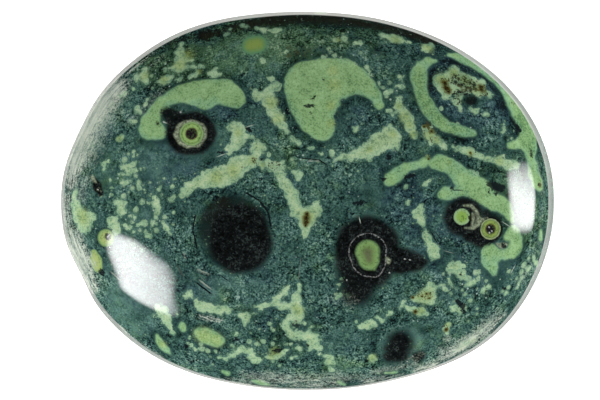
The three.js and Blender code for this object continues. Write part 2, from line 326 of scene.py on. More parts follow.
# %% Pale ragged patches
# x, y and radius in mm
PALE = [
    # the bar left of the middle, its knob and the chain that goes on to the right
    [(-17.4, .75, .4), (-16.3, 1.7, .7), (-15, 2.6, .95), (-13.5, 3, 1.2), (-12, 3.4, 1.5),
     (-10.7, 3.9, 1.4), (-9.5, 4.8, 1.35), (-8.5, 5.2, 1), (-7.9, 5.1, .8)],
    [(-18.9, .2, .3), (-18.3, .5, .35)], [(-6.2, 7.5, .6), (-6.9, 7.5, .8), (-7, 6.5, .7), (-7.2, 5.8, .6)],
    [(-5.3, 6.4, .3)], [(-6.4, 5.2, .4), (-6.2, 4.7, .35)],
    [(-5.4, 5.4, .45), (-4.9, 4.8, .5), (-4.2, 5.1, .5), (-3.5, 5.3, .3)], [(-3.4, 4.7, .4)],
    [(-1.4, 1, .4)],
    [(-4.1, 3.9, .5), (-3.7, 3.2, .6), (-3.1, 2.3, .75), (-2.5, 1.4, .8), (-2, .7, .8), (-1.9, .1, .7)],
    # the arrow in the middle
    [(-1.7, -.5, .75), (-1.4, -1.3, .85), (-.6, -1.9, .9)],
    [(1.4, -.4, .5), (1.1, -1.2, .8), (.4, -2.1, .9)],
    [(-.1, -2.5, 1.05), (-.2, -3.5, .8), (-.4, -4.5, .55), (-.45, -5.1, .3)],
    [(-1.9, 4.1, .3), (-1.1, 4, .3), (-.9, 3.7, .25), (-1.3, 3.2, .25), (-1.6, 2.8, .2)],
    [(.1, 7.3, .2), (.9, 7.4, .2)], [(1.9, 6.4, .25)],
    # the patch right of the first eye, and the forked stem
    [(-10.2, 10.1, .85), (-9.6, 9.8, .9), (-9.4, 9, .9), (-9.6, 8.3, .9), (-10.2, 7.6, .7), (-10.9, 7.1, .5),
     (-10.6, 6.6, .3)], [(-8.9, 8.9, .5), (-8.3, 8.9, .4), (-7.7, 8.9, .35)],
    [(-5.4, 14.5, .95), (-5.3, 13.4, .85), (-4.7, 12.3, .8), (-4.1, 11.3, .75), (-3.5, 10.4, .6),
     (-3, 9.7, .35), (-2.8, 9.4, .1)], [(-7.1, 15.1, .55), (-6.7, 14.4, .6), (-5.9, 14.3, .7)],
    [(-4, 15.9, .45), (-4.9, 15.6, .5), (-5.3, 15, .7)], [(-4.95, 16.7, .5)],
    [(-2.1, 8.5, .4), (-1.3, 7.95, .35)],
    # the bar right of the middle
    [(3.4, 6.6, .45)],
    [(3.9, 5.8, .4), (5, 6.1, .4), (6, 6.1, .6), (7, 6.5, .8), (8, 6.9, .95), (9, 7.4, 1.15), (10, 8, 1.4),
     (10.9, 8.6, 1.5), (11.5, 9, 1.3)], [(12, 8.3, .9), (12.3, 7.6, .45)], [(10.9, 10, .45)],
    [(8.4, 5.7, .3)], [(6.7, 9.95, .4)], [(8.35, 3.55, .3)], [(7.05, 4.05, .25)],
    # the rusty bars and the thin bar that runs to the right
    [(12.5, 14.2, .5), (12.6, 13.2, .5), (13.1, 12.3, .6), (13.7, 11.3, .7), (14.2, 10.3, .7),
     (14.5, 9.5, .45), (14.8, 8.8, .3)], [(16.1, 10, .4), (16.8, 10.1, .4)],
    [(16.5, 9.3, .5), (17.1, 8.8, .65), (17.7, 8.4, .5), (18.4, 7.8, .5), (18.8, 7.4, .3)],
    [(17.1, 7.8, .35)],
    [(20.1, 7.4, .2), (21, 7.2, .35), (22, 6.9, .48), (23, 6.5, .45), (24, 6.2, .38), (25, 5.9, .42),
     (26, 5.6, .45), (27, 5.3, .6), (27.8, 5.1, .8), (28.7, 4.9, .5)], [(15.9, 2.3, .3), (16.5, 2.7, .35)],
    [(13.5, 2, .25)], [(17.5, 3.1, .25)], [(13.8, .1, .2), (13.8, -.3, .2)],
    [(15.4, -1, .5), (15.3, -1.8, .75), (15.7, -2.6, .6), (15.9, -3.2, .3)],
    [(22.6, 4.1, .25), (23.5, 3.7, .3)],
    [(16.2, -4.3, .4), (16.5, -5.1, .5), (16.9, -6, .6), (17.4, -6.7, .75), (17.5, -7.5, .65),
     (17.3, -8.1, .3)], [(26.9, 6.3, .25)],
    # below the pair of eyes at the right
    [(19.9, -9, .7), (20.7, -8.9, .75), (21.3, -8.8, .4)],
    [(20.6, -9.7, .4), (21.3, -10.2, .5), (21.6, -10.6, .3)],
    [(16.85, -11.1, .4), (16.95, -12, .6), (16.9, -13, .75), (17, -13.7, .6)],
    [(16.4, -12.5, .6), (15.6, -13.2, .6), (14.7, -13.45, .35)], [(16.1, -13.8, .4), (17.3, -14, .35)],
    [(24.2, -12.4, .5)], [(25, -11.9, .3)], [(22, -11.5, .35), (22.9, -11.1, .4), (23.4, -10.9, .2)],
    [(19.5, -10.8, .3), (19.8, -11.3, .25)], [(18.5, -11.4, .35)], [(18.8, -12.1, .3), (19.2, -12.2, .25)],
    [(20.1, -14.6, .5), (20.7, -15.1, .4), (21.1, -15.4, .2)],
    [(19.4, -17.1, .45), (19, -17.8, .4), (19.1, -18.2, .3)], [(30.5, -9.3, .45)],
    [(29.3, -10.6, .2), (29, -12, .3)], [(31.2, -7.6, .3), (31.6, -9, .3)], [(27.4, -12.6, .35)],
    # the row above the lower right orb
    [(13.8, -14.6, .3), (14.5, -14.9, .35), (15.2, -15.3, .5), (15.9, -15.4, .45), (16.3, -15.6, .25)],
    [(13.2, -14, .3), (12.9, -14.6, .3)], [(11, -15.6, .3), (11.6, -15.4, .35)],
    [(9.8, -16, .35), (10.2, -16.4, .3)],
    [(7.5, -17.3, .55), (8.2, -17.2, .6), (8.7, -16.7, .5), (9.3, -16.8, .35)], [(6.7, -16.6, .25)],
    [(8.9, -21.7, .55)], [(9.8, -23.8, .2)], [(4.2, -11.5, .32)], [(4.05, -13.3, .27)],
    # the branching patch below the middle
    [(-1.5, -13.2, .6), (-1.6, -14.2, .75), (-1.4, -15.2, .85), (-1.3, -16, .9)],
    [(-2.3, -15.9, .5), (-2.9, -16.6, .5), (-2.9, -17.4, .5), (-2.4, -18.2, .6), (-1.9, -18.6, .45),
     (-1.2, -18.4, .5), (-.6, -18.2, .4)], [(-.4, -16.8, .3)], [(.6, -17.4, .3)],
    [(0, -18.7, .8), (.6, -19.1, .8), (1, -19.8, .6), (1.9, -20.2, .45)], [(-1.2, -20.2, .45)],
    [(.2, -20.5, .3)], [(1.5, -18.4, .25)], [(1.7, -19.3, .3)],
    [(-2.6, -11.6, .35), (-3.2, -12.4, .45), (-3.7, -13.1, .45), (-4.3, -13.7, .5), (-4.9, -13.9, .35)],
    [(-4.6, -14, .45), (-3.9, -14.3, .4), (-3.3, -14.6, .45), (-2.7, -14.5, .4)],
    [(-5.6, -14.4, .35), (-6.3, -14.6, .55), (-6.9, -14.4, .4)], [(-7.3, -15.4, .25)],
    [(-1.2, -11.5, .25), (-1.2, -12.2, .25)], [(1.6, -21.2, .25)], [(-3.9, -22.8, .2)],
    [(2.7, -21.4, .45), (3.2, -21.5, .4), (3, -22.2, .6), (3.5, -22.2, .35)], [(3.4, -23.3, .4)],
    # the arcs and flecks below the dark orb at the left
    [(-9.4, -15.6, .4), (-8.8, -15.9, .5), (-8.3, -16.3, .5), (-8.5, -16.9, .25)],
    [(-12.2, -21.7, .2), (-11.4, -21.6, .3), (-10.5, -21.3, .3), (-9.8, -20.9, .4), (-8.9, -20.6, .5),
     (-8, -20.8, .5), (-7.6, -21.4, .5), (-7.3, -22, .5), (-6.7, -21.8, .4), (-6.1, -21.8, .3)],
    [(-5.3, -21.5, .4), (-4.7, -21.6, .35), (-4.1, -21.4, .3), (-3.4, -20.9, .3), (-2.8, -20.7, .2)],
    [(-2.1, -21.6, .25), (-1.5, -21.4, .25)],
    [(-20.5, -14.9, .75), (-19.9, -15.5, .85), (-19.5, -16.4, .7), (-19.1, -17, .4)], [(-21.3, -15.5, .35)],
    [(-18.7, -17.5, .42), (-18.5, -18.1, .25)], [(-18.1, -15.1, .2), (-17.8, -15.7, .2)],
    [(-17, -13, .35), (-16.5, -13, .5), (-16.1, -13.3, .3)],
    [(-15.5, -13.7, .4), (-15, -14.4, .7), (-14.1, -14.5, .75), (-13, -14.9, .6), (-12, -15, .6),
     (-11, -15, .55), (-10.7, -15, .4)], [(-16.3, -18.7, .25)], [(-16, -20, .3), (-15.5, -20.5, .35)],
    [(-10.6, -19.9, .25)], [(-9.7, -17.7, .2), (-9.9, -18.5, .25)],
    # the left end
    [(-32.2, .6, .5), (-32, -.3, .7), (-31.7, -1.3, .8), (-31.4, -2.3, 1.1), (-30.6, -2.6, 1.3),
     (-30, -2.2, .9)], [(-30.9, -3.5, .9)], [(-27, -2.7, .8), (-26.5, -3.6, .7), (-26.2, -4.3, .5)],
    [(-26.2, -.1, .4), (-25.6, -.5, .6), (-25.4, -1.3, .7), (-25.8, -1.7, .4)],
    [(-20.8, .4, .35), (-20.8, -.4, .5), (-20.6, -1.2, .4), (-21.3, -3.2, .12), (-21.6, -4.5, .1)],
    [(-23.9, -2.2, .35)], [(-25.1, -3.4, .3), (-24.6, -3.8, .35)], [(-23.4, -3.4, .2), (-22.6, -3.2, .25)],
    [(-24.1, -4.3, .25)], [(-22, -4.7, .4)], [(-19.8, -3.1, .3), (-19.3, -3.6, .35), (-19, -4.2, .3)],
    [(-18.5, -1.5, .2)], [(-25.6, 8.9, .3), (-26, 8.4, .35)], [(-27.6, 5.5, .35), (-28, 5.1, .35)],
    [(-28.1, 4.3, .3)], [(-24, 6.6, .25), (-23.9, 6, .3)],
    [(-25.5, 4.5, .35), (-24.7, 4.8, .5), (-23.9, 5.2, .35)], [(-24.7, 4.2, .45), (-23.7, 4.1, .35)],
    [(-25.3, 3.5, .35)], [(-25.4, 2.5, .3), (-24.8, 2.6, .35)], [(-23.2, 2.7, .35), (-23.4, 2.2, .25)],
    [(-27.1, 3, .35)], [(-20.3, 2.7, .3), (-19.8, 3, .3)], [(-18.5, 3, .25)], [(-18.6, 2, .25)],
    [(-20.7, 1.6, .25)], [(-22.4, 1.6, .25)], [(-31.4, 5, .35)], [(-31.9, 2.5, .2), (-31.9, 1.2, .25)],
    # the upper left
    [(-17.4, 21.7, .35), (-17.6, 20.3, .65), (-17.5, 19.2, .75), (-17.7, 18.3, .75), (-17.8, 17.7, .3)],
    [(-17.2, 19.4, .5), (-16.1, 19.4, .3)], [(-18, 18.4, .5), (-19.1, 18.25, .25)],
    [(-16.7, 18.5, .3), (-15.4, 18.4, .35)], [(-16.1, 17.2, .3), (-15.2, 17.5, .35)], [(-14.6, 18.7, .3)],
    [(-13.3, 17.7, .45), (-12.7, 17.5, .5), (-11.9, 17.5, .35)], [(-12.5, 18.4, .2)],
    [(-20.4, 16.5, .25), (-19.8, 16.5, .4), (-19.2, 16.9, .45), (-18.8, 16.9, .25)],
    [(-18.1, 16.8, .2), (-17.5, 16.8, .3)],
    [(-22.2, 18.3, .4), (-22.5, 17.5, .5), (-22.3, 16.6, .5), (-22.1, 16.2, .3)], [(-23.7, 17.1, .5)],
    [(-26, 14.6, .3), (-25.2, 14.8, .4)], [(-24.1, 15.5, .25)], [(-21.9, 13.9, .25), (-22.4, 13.3, .25)],
    [(-23.5, 12.7, .55), (-22.8, 12.3, .2)], [(-24.3, 11.2, .35), (-23.8, 11.05, .3)], [(-27, 13.5, .4)],
    # the top
    [(-6.8, 23.8, .3), (-6, 23.6, .35), (-5, 23.55, .28), (-4.4, 23.3, .48), (-3.9, 23.6, .3)],
    [(-4.2, 22.9, .3)], [(-9.1, 24.2, .3), (-8.5, 24, .25)], [(-10.6, 23.6, .25), (-11.3, 23, .25)],
    [(-3, 20.55, .35)], [(-6.1, 19.3, .45)], [(2.3, 19.75, .35)], [(5.2, 22.5, .5)],
    [(6.6, 21.8, .3), (7.4, 21.6, .25)],
    [(9.6, 23.05, .2), (10.6, 22.8, .35), (11.8, 22.4, .5), (12.9, 22.2, .45), (14, 21.95, .2)],
    [(16.4, 21, .7), (17, 21.3, .5)], [(8.1, 18.45, .35)], [(8.5, 17.4, .35)], [(6.5, 18.9, .35)],
    [(12.7, 17.2, .5), (13.3, 17.2, .3)], [(9.9, 16.3, .25)], [(10.9, 15, .45)],
    [(12.2, 15.9, .35), (13.1, 15.7, .35)], [(11.3, 12.55, .35)], [(11.8, 11.75, .35)],
    # the crumbly cluster in the upper right orb
    [(18.4, 16.6, 1.1), (18.7, 15.5, 1), (19.2, 14.6, .7)], [(19.5, 17, 1), (20.4, 17.9, .75)],
    [(20.9, 16.9, .9), (21.8, 16.7, .8), (22.6, 16.6, .6), (23.8, 16.3, .8)],
    [(20.3, 15.6, .8), (21.3, 15.4, .7), (22.6, 15.7, .6), (23.6, 15, .7), (24.7, 14.8, .5),
     (25.5, 14.7, .3)], [(21, 14.5, .45), (20.6, 13.7, .5), (20.9, 13, .35)],
    [(22.4, 12.8, .25), (23.1, 12.45, .4), (23.6, 12.7, .25)], [(24.5, 12.1, .4)], [(18.3, 12.6, .35)],
    [(27.1, 10.6, .32), (27, 9.6, .32)], [(20.4, -20.8, .35), (21.6, -19.9, .5), (22.9, -18.9, .4)],
    [(23.9, -17.9, .25)], [(27.9, 8.6, .3)],
]
print("pale strokes:", len(PALE))

# %% Smooth green bands
GREEN = [
    # the crescent over the first eye
    [(-20.3, 9.4, 1.05), (-21.65, 10, 1.45), (-21.7, 11.1, 1.15), (-20.9, 12.4, .85), (-19.9, 13.5, .8),
     (-18.7, 14.3, .85), (-17.3, 14.75, 1.15), (-15.7, 14.8, 1.55), (-14.1, 14.75, 1.95),
     (-12.8, 15.3, 1.45), (-11.5, 15.15, 1.65), (-10.3, 14.6, 1.4), (-9.6, 14, 1.1)],
    # the big moon
    [(.4, 15.8, 3.4), (2.6, 16.2, 3.3), (4.8, 16.7, 2.8), (6.8, 16.4, 2), (8.2, 15.6, 1.2), (9.2, 14.4, .9),
     (9.9, 13.3, .7)], [(.4, 15.8, 3.4), (1.1, 13.3, 3.2), (1.3, 11.4, 2.3), (2, 9.9, 1.8)],
    # the crescent round the upper right orb, and the band on the rim
    [(17.6, 19.3, .3), (16.6, 19.2, .55), (15.6, 18.4, .85), (15.4, 17.4, 1.02), (15.5, 16.3, .92),
     (15.7, 15.3, .75), (15.8, 14.4, .75), (16.3, 13.2, .9), (17.1, 12.1, .92), (18, 11.15, .85),
     (19.1, 10.4, .68), (20.3, 9.85, .6), (21.6, 9.5, .58), (22.8, 9.35, .45)],
    [(19.6, 20.1, .35), (20.6, 19.9, .55), (21.7, 19.4, .6), (22.8, 18.8, .6), (24, 18.1, .5),
     (25.3, 17, .45), (26.6, 15.8, .45), (27.6, 14.6, .6), (28.4, 13.3, .95), (29.2, 11.9, 1.15),
     (29.8, 10.8, 1), (30.4, 9.6, 1.1), (30.4, 8.5, 1.3), (30.7, 7.5, 1.1), (30.8, 6.3, .6), (31, 5, .65),
     (31.1, 3.8, .75), (31.7, 2.6, .85), (32.1, 1.7, .5)], [(28, 7.7, .55), (29.5, 8, .9)],
    # the bar and the arch over the pair of eyes
    [(11, 2.4, .4), (11.5, 3, .8), (12.3, 3.75, .78), (13.4, 4.35, .58), (14.6, 4.8, .48), (15.7, 5.2, .5),
     (16.2, 5.5, .5)],
    [(17.3, 5.2, .6), (18.2, 5.4, .95), (19.2, 5.2, .95), (20.2, 4.5, .95), (20.9, 3.6, 1.1),
     (21.6, 2.7, 1.25), (22.6, 2.1, 1.35), (23.6, 1.6, 1.45), (24.6, .7, 1.3), (25.6, .1, 1.1),
     (26.5, -.3, .95), (27.3, -.8, .8), (27.9, -1.9, .5), (28.3, -2.8, .35)],
    [(18.5, .8, .5), (19.2, 1, .85), (20.2, .9, .6), (21.4, 1.1, .5)],
    # the hooked patch below them
    [(27.4, -4.9, .5), (28.4, -4.3, .75), (28.8, -5.3, .75), (28.8, -6.3, .75), (28.2, -7.1, .75),
     (27.3, -7.5, .6), (26.3, -7.4, .6), (25.2, -7, 1.1), (25.1, -8.2, 1), (25.5, -9.2, .65),
     (25.8, -9.9, .4)],
    # lenses low at the left, and slivers on the lower rim
    [(-15, -18.2, .7), (-14.2, -18.6, .95), (-13.3, -19, .95), (-12.4, -19.2, .8), (-11.8, -19.3, .45)],
    [(-17.3, -17.3, .6), (-17, -17.7, .5)],
    [(-20.7, -18.5, .3), (-20.5, -19.3, .34), (-20.1, -19.9, .42), (-19.5, -20.5, .4), (-18.9, -21, .2)],
    [(-7.5, -24.9, .3), (-6.4, -25.1, .4), (-5.4, -25.3, .35)], [(10.8, -23.7, .25), (12.4, -23.6, .25)],
    [(4.2, -24.9, .3), (5, -25.3, .3)], [(-11.7, -23.5, .3), (-10.9, -23.8, .4)],
    [(32.2, -4.3, .4), (32.2, -5.3, .4)],
]
# bites out of the green: the big moon's round one with its ragged side, and the notch in the arch
BITES = [
    [(16.75, 6.25, .35)], [(6.8, 12.15, 2.35)], [(4.4, 12.7, .3)], [(4, 11.5, .35)], [(4.9, 13.6, .35)],
    [(4.15, 12.05, .2)], [(3.9, 10.7, .2)],
]
print("green strokes:", len(GREEN))

# %% [markdown]
# ## Eyes, orbs and halos
# Each eye is a ball of green mineral cut through, with rings in it, and a black halo stands round it. The
# rings could be painted one by one, but one number does it: the way out from the eye's middle, which is 1 at
# its edge. A halo is a soft share of black, from 1 inside to 0 outside, over a fading width of its own.
# Greyish membranes, thin shells of quartz, lie between some eyes and their halos.

# %% Eyes
TARGET, YOLK, SPOT, RINGED, LIME, OLIVE = range(6)
# the kind, the balls of its outline, and the radius that its way out is measured in
EYES = [
    (TARGET, [(-16.02, 9.27, 1.6)], 1.6),
    (YOLK, [(8.3, -7.15, 1.78), (8.45, -8.15, 1.5), (9.2, -9.5, .25)], 1.88),
    (SPOT, [(21.35, -2.3, 1.1)], 1.1), (RINGED, [(25.17, -3.95, 1.42)], 1.42),
    (LIME, [(-27.9, -5, 1.17)], 1.17),
    (LIME, [(-29.5, -7.2, .45), (-29.15, -8.1, .85), (-28.95, -9, .75)], .85),
    (OLIVE, [(-7.75, 21.5, 1.1), (-6.95, 21.6, 1.1)], 1.1),
]


def oval(x, y, across, up, thickness):
    """A closed chain of balls round an oval, half as thick again on its left as on its right."""
    turns = np.linspace(0, 2 * np.pi, 25)
    return [(x + across * np.cos(t), y + up * np.sin(t), thickness * (1 - 0.2 * np.cos(t))) for t in turns]


# greyish shells between the eyes and their halos
MEMBRANES = [
    oval(-16.06, 9.25, 2.02, 1.74, .17),
    [(21.6, -.5, .08), (22.5, -.75, .15), (23.3, -1.5, .16), (23.75, -2.5, .16), (23.5, -3.35, .2),
     (22.8, -3.75, .15), (21.8, -3.65, .1)], [(23.6, -3.1, .15), (24.1, -2.5, .1), (24.9, -2.3, .08)],
    [(22.75, -1.7, .12), (22.95, -2.4, .15), (22.6, -3.1, .12)], [(-29.65, 3.3, .25), (-29.35, 2.7, .16)],
    [(10.9, -7.8, .12), (11.2, -8.15, .25), (11.1, -8.6, .12)],
    [(26.2, -5.95, .15), (26.7, -6.3, .3), (27.4, -6, .2)], [(-29.2, 2.5, .03)], [(-28.8, 1.95, .03)],
    [(-29.05, 1.6, .02)], [(-28.6, 1.3, .03)], [(-28.75, .8, .02)],
]
# each halo: its balls, the width in mm over which it fades, and how black it gets
HALOS = [
    ([(-16.65, 9.35, 2.85), (-15.65, 9.4, 2.9)], 1.2, 1), ([(-18.2, 11.3, 1.3), (-19.5, 12.2, .9)], 1, .85),
    ([(8.1, -6.5, 4.35)], 1.7, 1), ([(8.1, -8.2, 3.7)], 1.8, 1), ([(7.3, -10, 3.5), (7, -12, 2.3)], 2.8, .9),
    ([(11, -7.8, 2.2), (13, -8.2, 1.5), (14.8, -8.4, .9), (16, -8.4, .4)], 1.3, .97),
    ([(21.65, -2.25, 2.65)], 1.6, 1), ([(22.6, -4.2, 1.5), (24, -5, 1.05), (25.2, -5.2, .75)], 1.2, 1),
    ([(25.2, -4, 1.75)], .5, 1), ([(24.7, -1.9, .7), (26.2, -2.5, .6)], .9, .75),
    ([(-9.5, -4.6, 4.15), (-9.3, -5.7, 4.3)], 1.8, .95), ([(-9.1, -5.3, 3.4)], 2.2, 1),
    ([(-12.6, -3.8, 2.4)], 2, .6), ([(-10, -1.6, 2.6)], 2, .5),
    ([(12.8, -19.5, 1.8), (12.4, -20.6, 1.7)], 2.6, .97), ([(11.4, -21.4, 1), (13, -21.4, 1.1)], 2, .9),
    ([(15.1, -21.5, .9)], 1.6, .9), ([(22.3, 13.85, .75), (22.9, 13.8, .75)], 1.1, .82),
    ([(-29.45, 3, .25), (-28.95, 2.1, .42), (-28.6, 1.1, .42)], .5, .95),
    ([(21.2, 14.7, .25), (21.9, 14.7, .25)], .6, .7), ([(-28, -5, 1.5)], .4, .45),
    ([(-29.15, -8.3, 1.25)], .4, .4), ([(-1.6, -16.9, .6)], .5, .45), ([(-.25, -17.4, .3)], .4, .4),
]
# balls that fade melt together over this many mm
SOFT_BLEND = 0.4


def soft_share(balls, fade):
    """1 inside the balls and 0 outside: half at their edge, smoothly over the fading width."""
    step = np.clip(0.5 - stroke_distance(on_face([balls]), SOFT_BLEND, RIM_SQUASH) / fade, 0, 1)
    return step * step * (3 - 2 * step)


def eye_fields(eyes):
    """For each point the kind of eye that it is in or nearest to, and the way out: 1 + distance / radius."""
    way, kind = np.full(len(points), 9.0), np.zeros(len(points))
    for eye_kind, strokes, radius, squash in eyes:
        this_way = 1 + stroke_distance(strokes, FINE, squash) / radius
        nearer = this_way < way
        way[nearer], kind[nearer] = this_way[nearer], eye_kind
    return way, kind


print("eyes:", len(EYES), "membranes:", len(MEMBRANES), "halos:", len(HALOS))

# %% [markdown]
# ## Stains, spots and thin lines
# Iron has stained a few patches, and some spots are black. Hairline veins, and the pale lines of painted
# highlight beside some cracks and pits, are thinner than the mesh's own spacing, so a point carries its
# signed sideways offset from the line instead. That runs evenly through nought, so the material can draw a
# line much thinner than a triangle.

# %% Spots
# x, y, radius in mm
DARK_RUST = [
    (-.12, -1.8, .28), (-.15, -2.3, .46), (-.2, -2.85, .44), (-.22, -3.3, .24), (19, 16.2, .45),
    (19.2, 15.6, .5), (19.4, 15.1, .4), (23.9, 15.7, .5), (24, 15.3, .45), (16.4, -12.9, .22),
    (14.5, -13.3, .22), (14.8, -15.3, .28), (19.05, -17.8, .32), (32, 2.3, .3), (17.1, 9.6, .26),
    (16, 10.2, .22), (22.4, 6.65, .14), (16.7, 5.9, .14), (16.9, -13.4, .2), (15.8, -13.1, .16),
]
TAN = [
    (3.7, 16, 1.1), (3.4, 18, .9), (3.3, 13.3, .8), (3.2, 10.8, .7), (16.9, 9.1, .9), (17.7, 8.4, .6),
    (13.3, 11.6, .9), (14, 10.6, .8), (14.6, 9.3, .6), (22.4, 6.65, .6), (16.6, 5.95, .4), (19.5, 5.4, .35),
    (4.2, 22.3, .5), (-1.2, -15.2, .8), (21.8, 16.6, 1.2), (18.6, 16.6, 1.2), (0, -2.4, 1.1),
    (16.2, -13.1, 1.2), (-4.4, -20.9, .9), (-5.1, 13.6, 1), (-4.1, 11.4, .9), (-7.6, 5.5, .7),
    (11.8, 9.2, .6), (8.6, 7, .5), (20.3, 17.6, .9), (-16.6, 20, 1.1), (-17.6, 18.8, 1), (12.2, 22.3, .9),
    (16.6, 21.1, .9), (-30.9, -1.8, 1), (8.9, -21.7, .7), (23.4, 15.3, .9), (19.4, -17.2, .5),
    (15.3, -13.3, .7), (-12.6, 3.4, 1), (-10.3, 4.3, 1), (-4.9, -21.5, .6), (-1.8, -14.5, .6),
    (15.6, -15.3, .6), (12.6, 13.2, .6), (-9.7, 9.4, .6), (26.5, 5.5, .7), (-6.2, 5.1, .4),
    (-14.3, -18.5, 1.4), (-12.7, -19.2, 1.2), (-20, -19.8, .8), (21.3, -20.3, .6), (22.7, -19.2, .6),
    (-19.7, 16.8, .7), (-22.4, 17.3, .8), (-14.9, 17.9, .4), (-25.8, 8.6, .5), (-31, -2.6, .9),
]
BLACK = [
    [(29.05, 10.3, .35), (29.2, 9.8, .35)], [(24.9, 2.4, .3), (25.8, 2.1, .5), (26.7, 1.75, .55)],
    [(25, 1.2, .2)], [(25.9, .95, .25)], [(20.7, -13.7, .3), (21.2, -14.4, .42), (21.6, -15.3, .3)],
    [(10.6, 3.15, .28)], [(13.5, 3.35, .2), (14.1, 3.45, .28), (14.7, 3.6, .22)],
    [(6.4, -.2, .2), (7.5, -.2, .28)], [(11.2, 6, .4)], [(-8.2, 9.9, .22), (-7.8, 9.7, .25)],
    [(-12.2, 6.7, .2), (-11.8, 6.7, .2)], [(-16.7, -20, .3)], [(-10, -19.1, .3)],
    [(-16.4, -22, .2), (-15.7, -22, .2)], [(31.9, 2.3, .2)], [(30.9, 6.9, .15), (30.9, 6.2, .2)],
    [(27, -6.2, .3)], [(27.2, -12.2, .25)], [(.2, 14.05, .08), (.7, 14.15, .13)], [(1, 14.3, .08)],
    [(-.3, 13.15, .1), (.25, 13.15, .22), (.85, 13.1, .12)], [(.4, 12, .1)], [(.7, 11.8, .08)],
    [(3.4, 15.1, .1)], [(2.1, 16.7, .12)], [(.3, 12.3, .12)], [(.4, 11.5, .1)], [(-20.6, 10.7, .2)],
    [(-9, 4.65, .15)], [(21, -10.2, .15)], [(0, -19.9, .2)], [(19.9, 1.7, .3)], [(-28.4, -9.7, .45)],
    [(-27.5, -4.85, .45)], [(20.4, 16.5, .2)], [(21.4, 16, .2)], [(22.5, 15.2, .2)], [(20.7, 15.1, .2)],
    [(19.9, 16.3, .15)], [(23, 16.1, .2)], [(-4.9, -20.55, .1), (-4.2, -20.65, .22), (-3.6, -20.5, .12)],
    [(-4.9, 5.15, .15)], [(-3.9, 4.95, .15)], [(-6.3, 5.8, .15)], [(21.6, 14.6, .15)], [(20.9, 14.1, .15)],
]
# x, y and radius of tiny bright glints in the dark
GLINTS = [
    (-17.5, 12.1, .17), (-19.7, 10.85, .12), (25.05, -3.65, .1), (25.35, -4, .09), (24.95, -4.3, .09),
    (14.6, -21.4, .1), (13, -22.9, .09), (15, -22.3, .08), (13.8, -22.2, .08), (5.4, -10.9, .1),
    (-27.5, -4.9, .13), (-27.2, -4.6, .1), (11.4, -9.95, .09), (14.2, -8.2, .08), (13.4, -7.9, .07),
]
print("spots of rust, tan and black:", len(DARK_RUST), len(TAN), len(BLACK), "glints:", len(GLINTS))

# %% Thin lines
# from x, y to x, y, width in mm, and how pale, from 0 to 1
# a pale line beside a dark crack or a pit is a painted highlight on its lit edge
LINES = [
    (-8.6, 1.1, -6.7, .1, .34, 0), (-6.7, .1, -5.5, -1.7, .4, 0), (-5.5, -1.7, -5.1, -3.6, .36, 0),
    (-15.4, -1.9, -15.8, -4, .3, 0), (-15.8, -4, -15.3, -6.3, .3, 0), (20, 1.65, 21.2, 1.4, .2, 0),
    (-15.3, -11.1, -13.2, -12.9, .34, 0), (-14.7, -10.9, -13.3, -12.1, .18, .6),
    (-15, -9.5, -13.6, -10.1, .22, .5), (-15, -9.8, -13.8, -10.35, .16, 0), (-11.9, -10.4, -11, -11, .16, 0),
    (-17.9, -9, -17.2, -10.2, .3, .1), (-17.2, -7.2, -16.9, -7.8, .3, 0),
    (-16.9, -7.3, -16.7, -7.8, .14, .9), (-2.1, 6.45, -.9, 5.96, .1, 0), (-.9, 5.96, 1.4, 5.8, .2, 0),
    (1.4, 5.8, 2.5, 5.15, .24, 0), (.2, 5.6, 1.4, 5.45, .18, .6), (1.4, 7.7, 2.4, 7.4, .14, 0),
    (-1.0, -8.0, -1.2, -11, .1, .3), (17, -4.3, 18, -5.8, .14, 0), (17.6, -4.2, 18.5, -5.6, .12, 0),
    (28.6, -9.1, 28.1, -10, .14, .9), (-27.1, -9.9, -25.9, -11, .3, .45),
    (-19.9, 10.95, -19.4, 10.75, .22, 1), (7, -2.3, 7.3, -2.8, .14, 1), (-12.4, 6.3, -11.6, 6.45, .14, .8),
    (26.9, -2.9, 27.8, -3.5, .15, .6), (9.4, 20.8, 10.8, 20.6, .14, 0), (18.9, -6.7, 20.1, -7.2, .12, .4),
    (-8.4, 10.2, -7.6, 10.5, .16, .7),
]
# a line gives out past its ends over this many mm
LINE_FADE = 0.4


def line_fields(lines):
    """The sideways offset from the nearest line over half its width, how surely it's there, its paleness."""
    offset, sureness, pale = np.full(len(points), 9.0), np.zeros(len(points)), np.zeros(len(points))
    nearest = np.full(len(points), REACH_MM)
    for x1, y1, x2, y2, width, tone in lines:
        a, b = lift([(x1, y1), (x2, y2)])
        length = np.linalg.norm(b - a)
        along = (b - a) / length
        way = (points - a) @ along
        distance = np.linalg.norm(points - a - np.clip(way, 0, length)[:, None] * along, axis=1)
        side = np.cross(along, normals[np.argmin(((points - a) ** 2).sum(axis=1))])
        past_end = np.abs(way - length / 2) - length / 2
        sure = np.clip(0.6 - past_end / LINE_FADE, 0, 1) * np.clip(2 - distance / LINE_FADE, 0, 1)
        mine = distance < nearest
        nearest[mine], pale[mine], sureness[mine] = distance[mine], tone, sure[mine]
        offset[mine] = ((points - a) @ side)[mine] / (width / 2)
    return offset, sureness, pale


print("lines:", len(LINES))
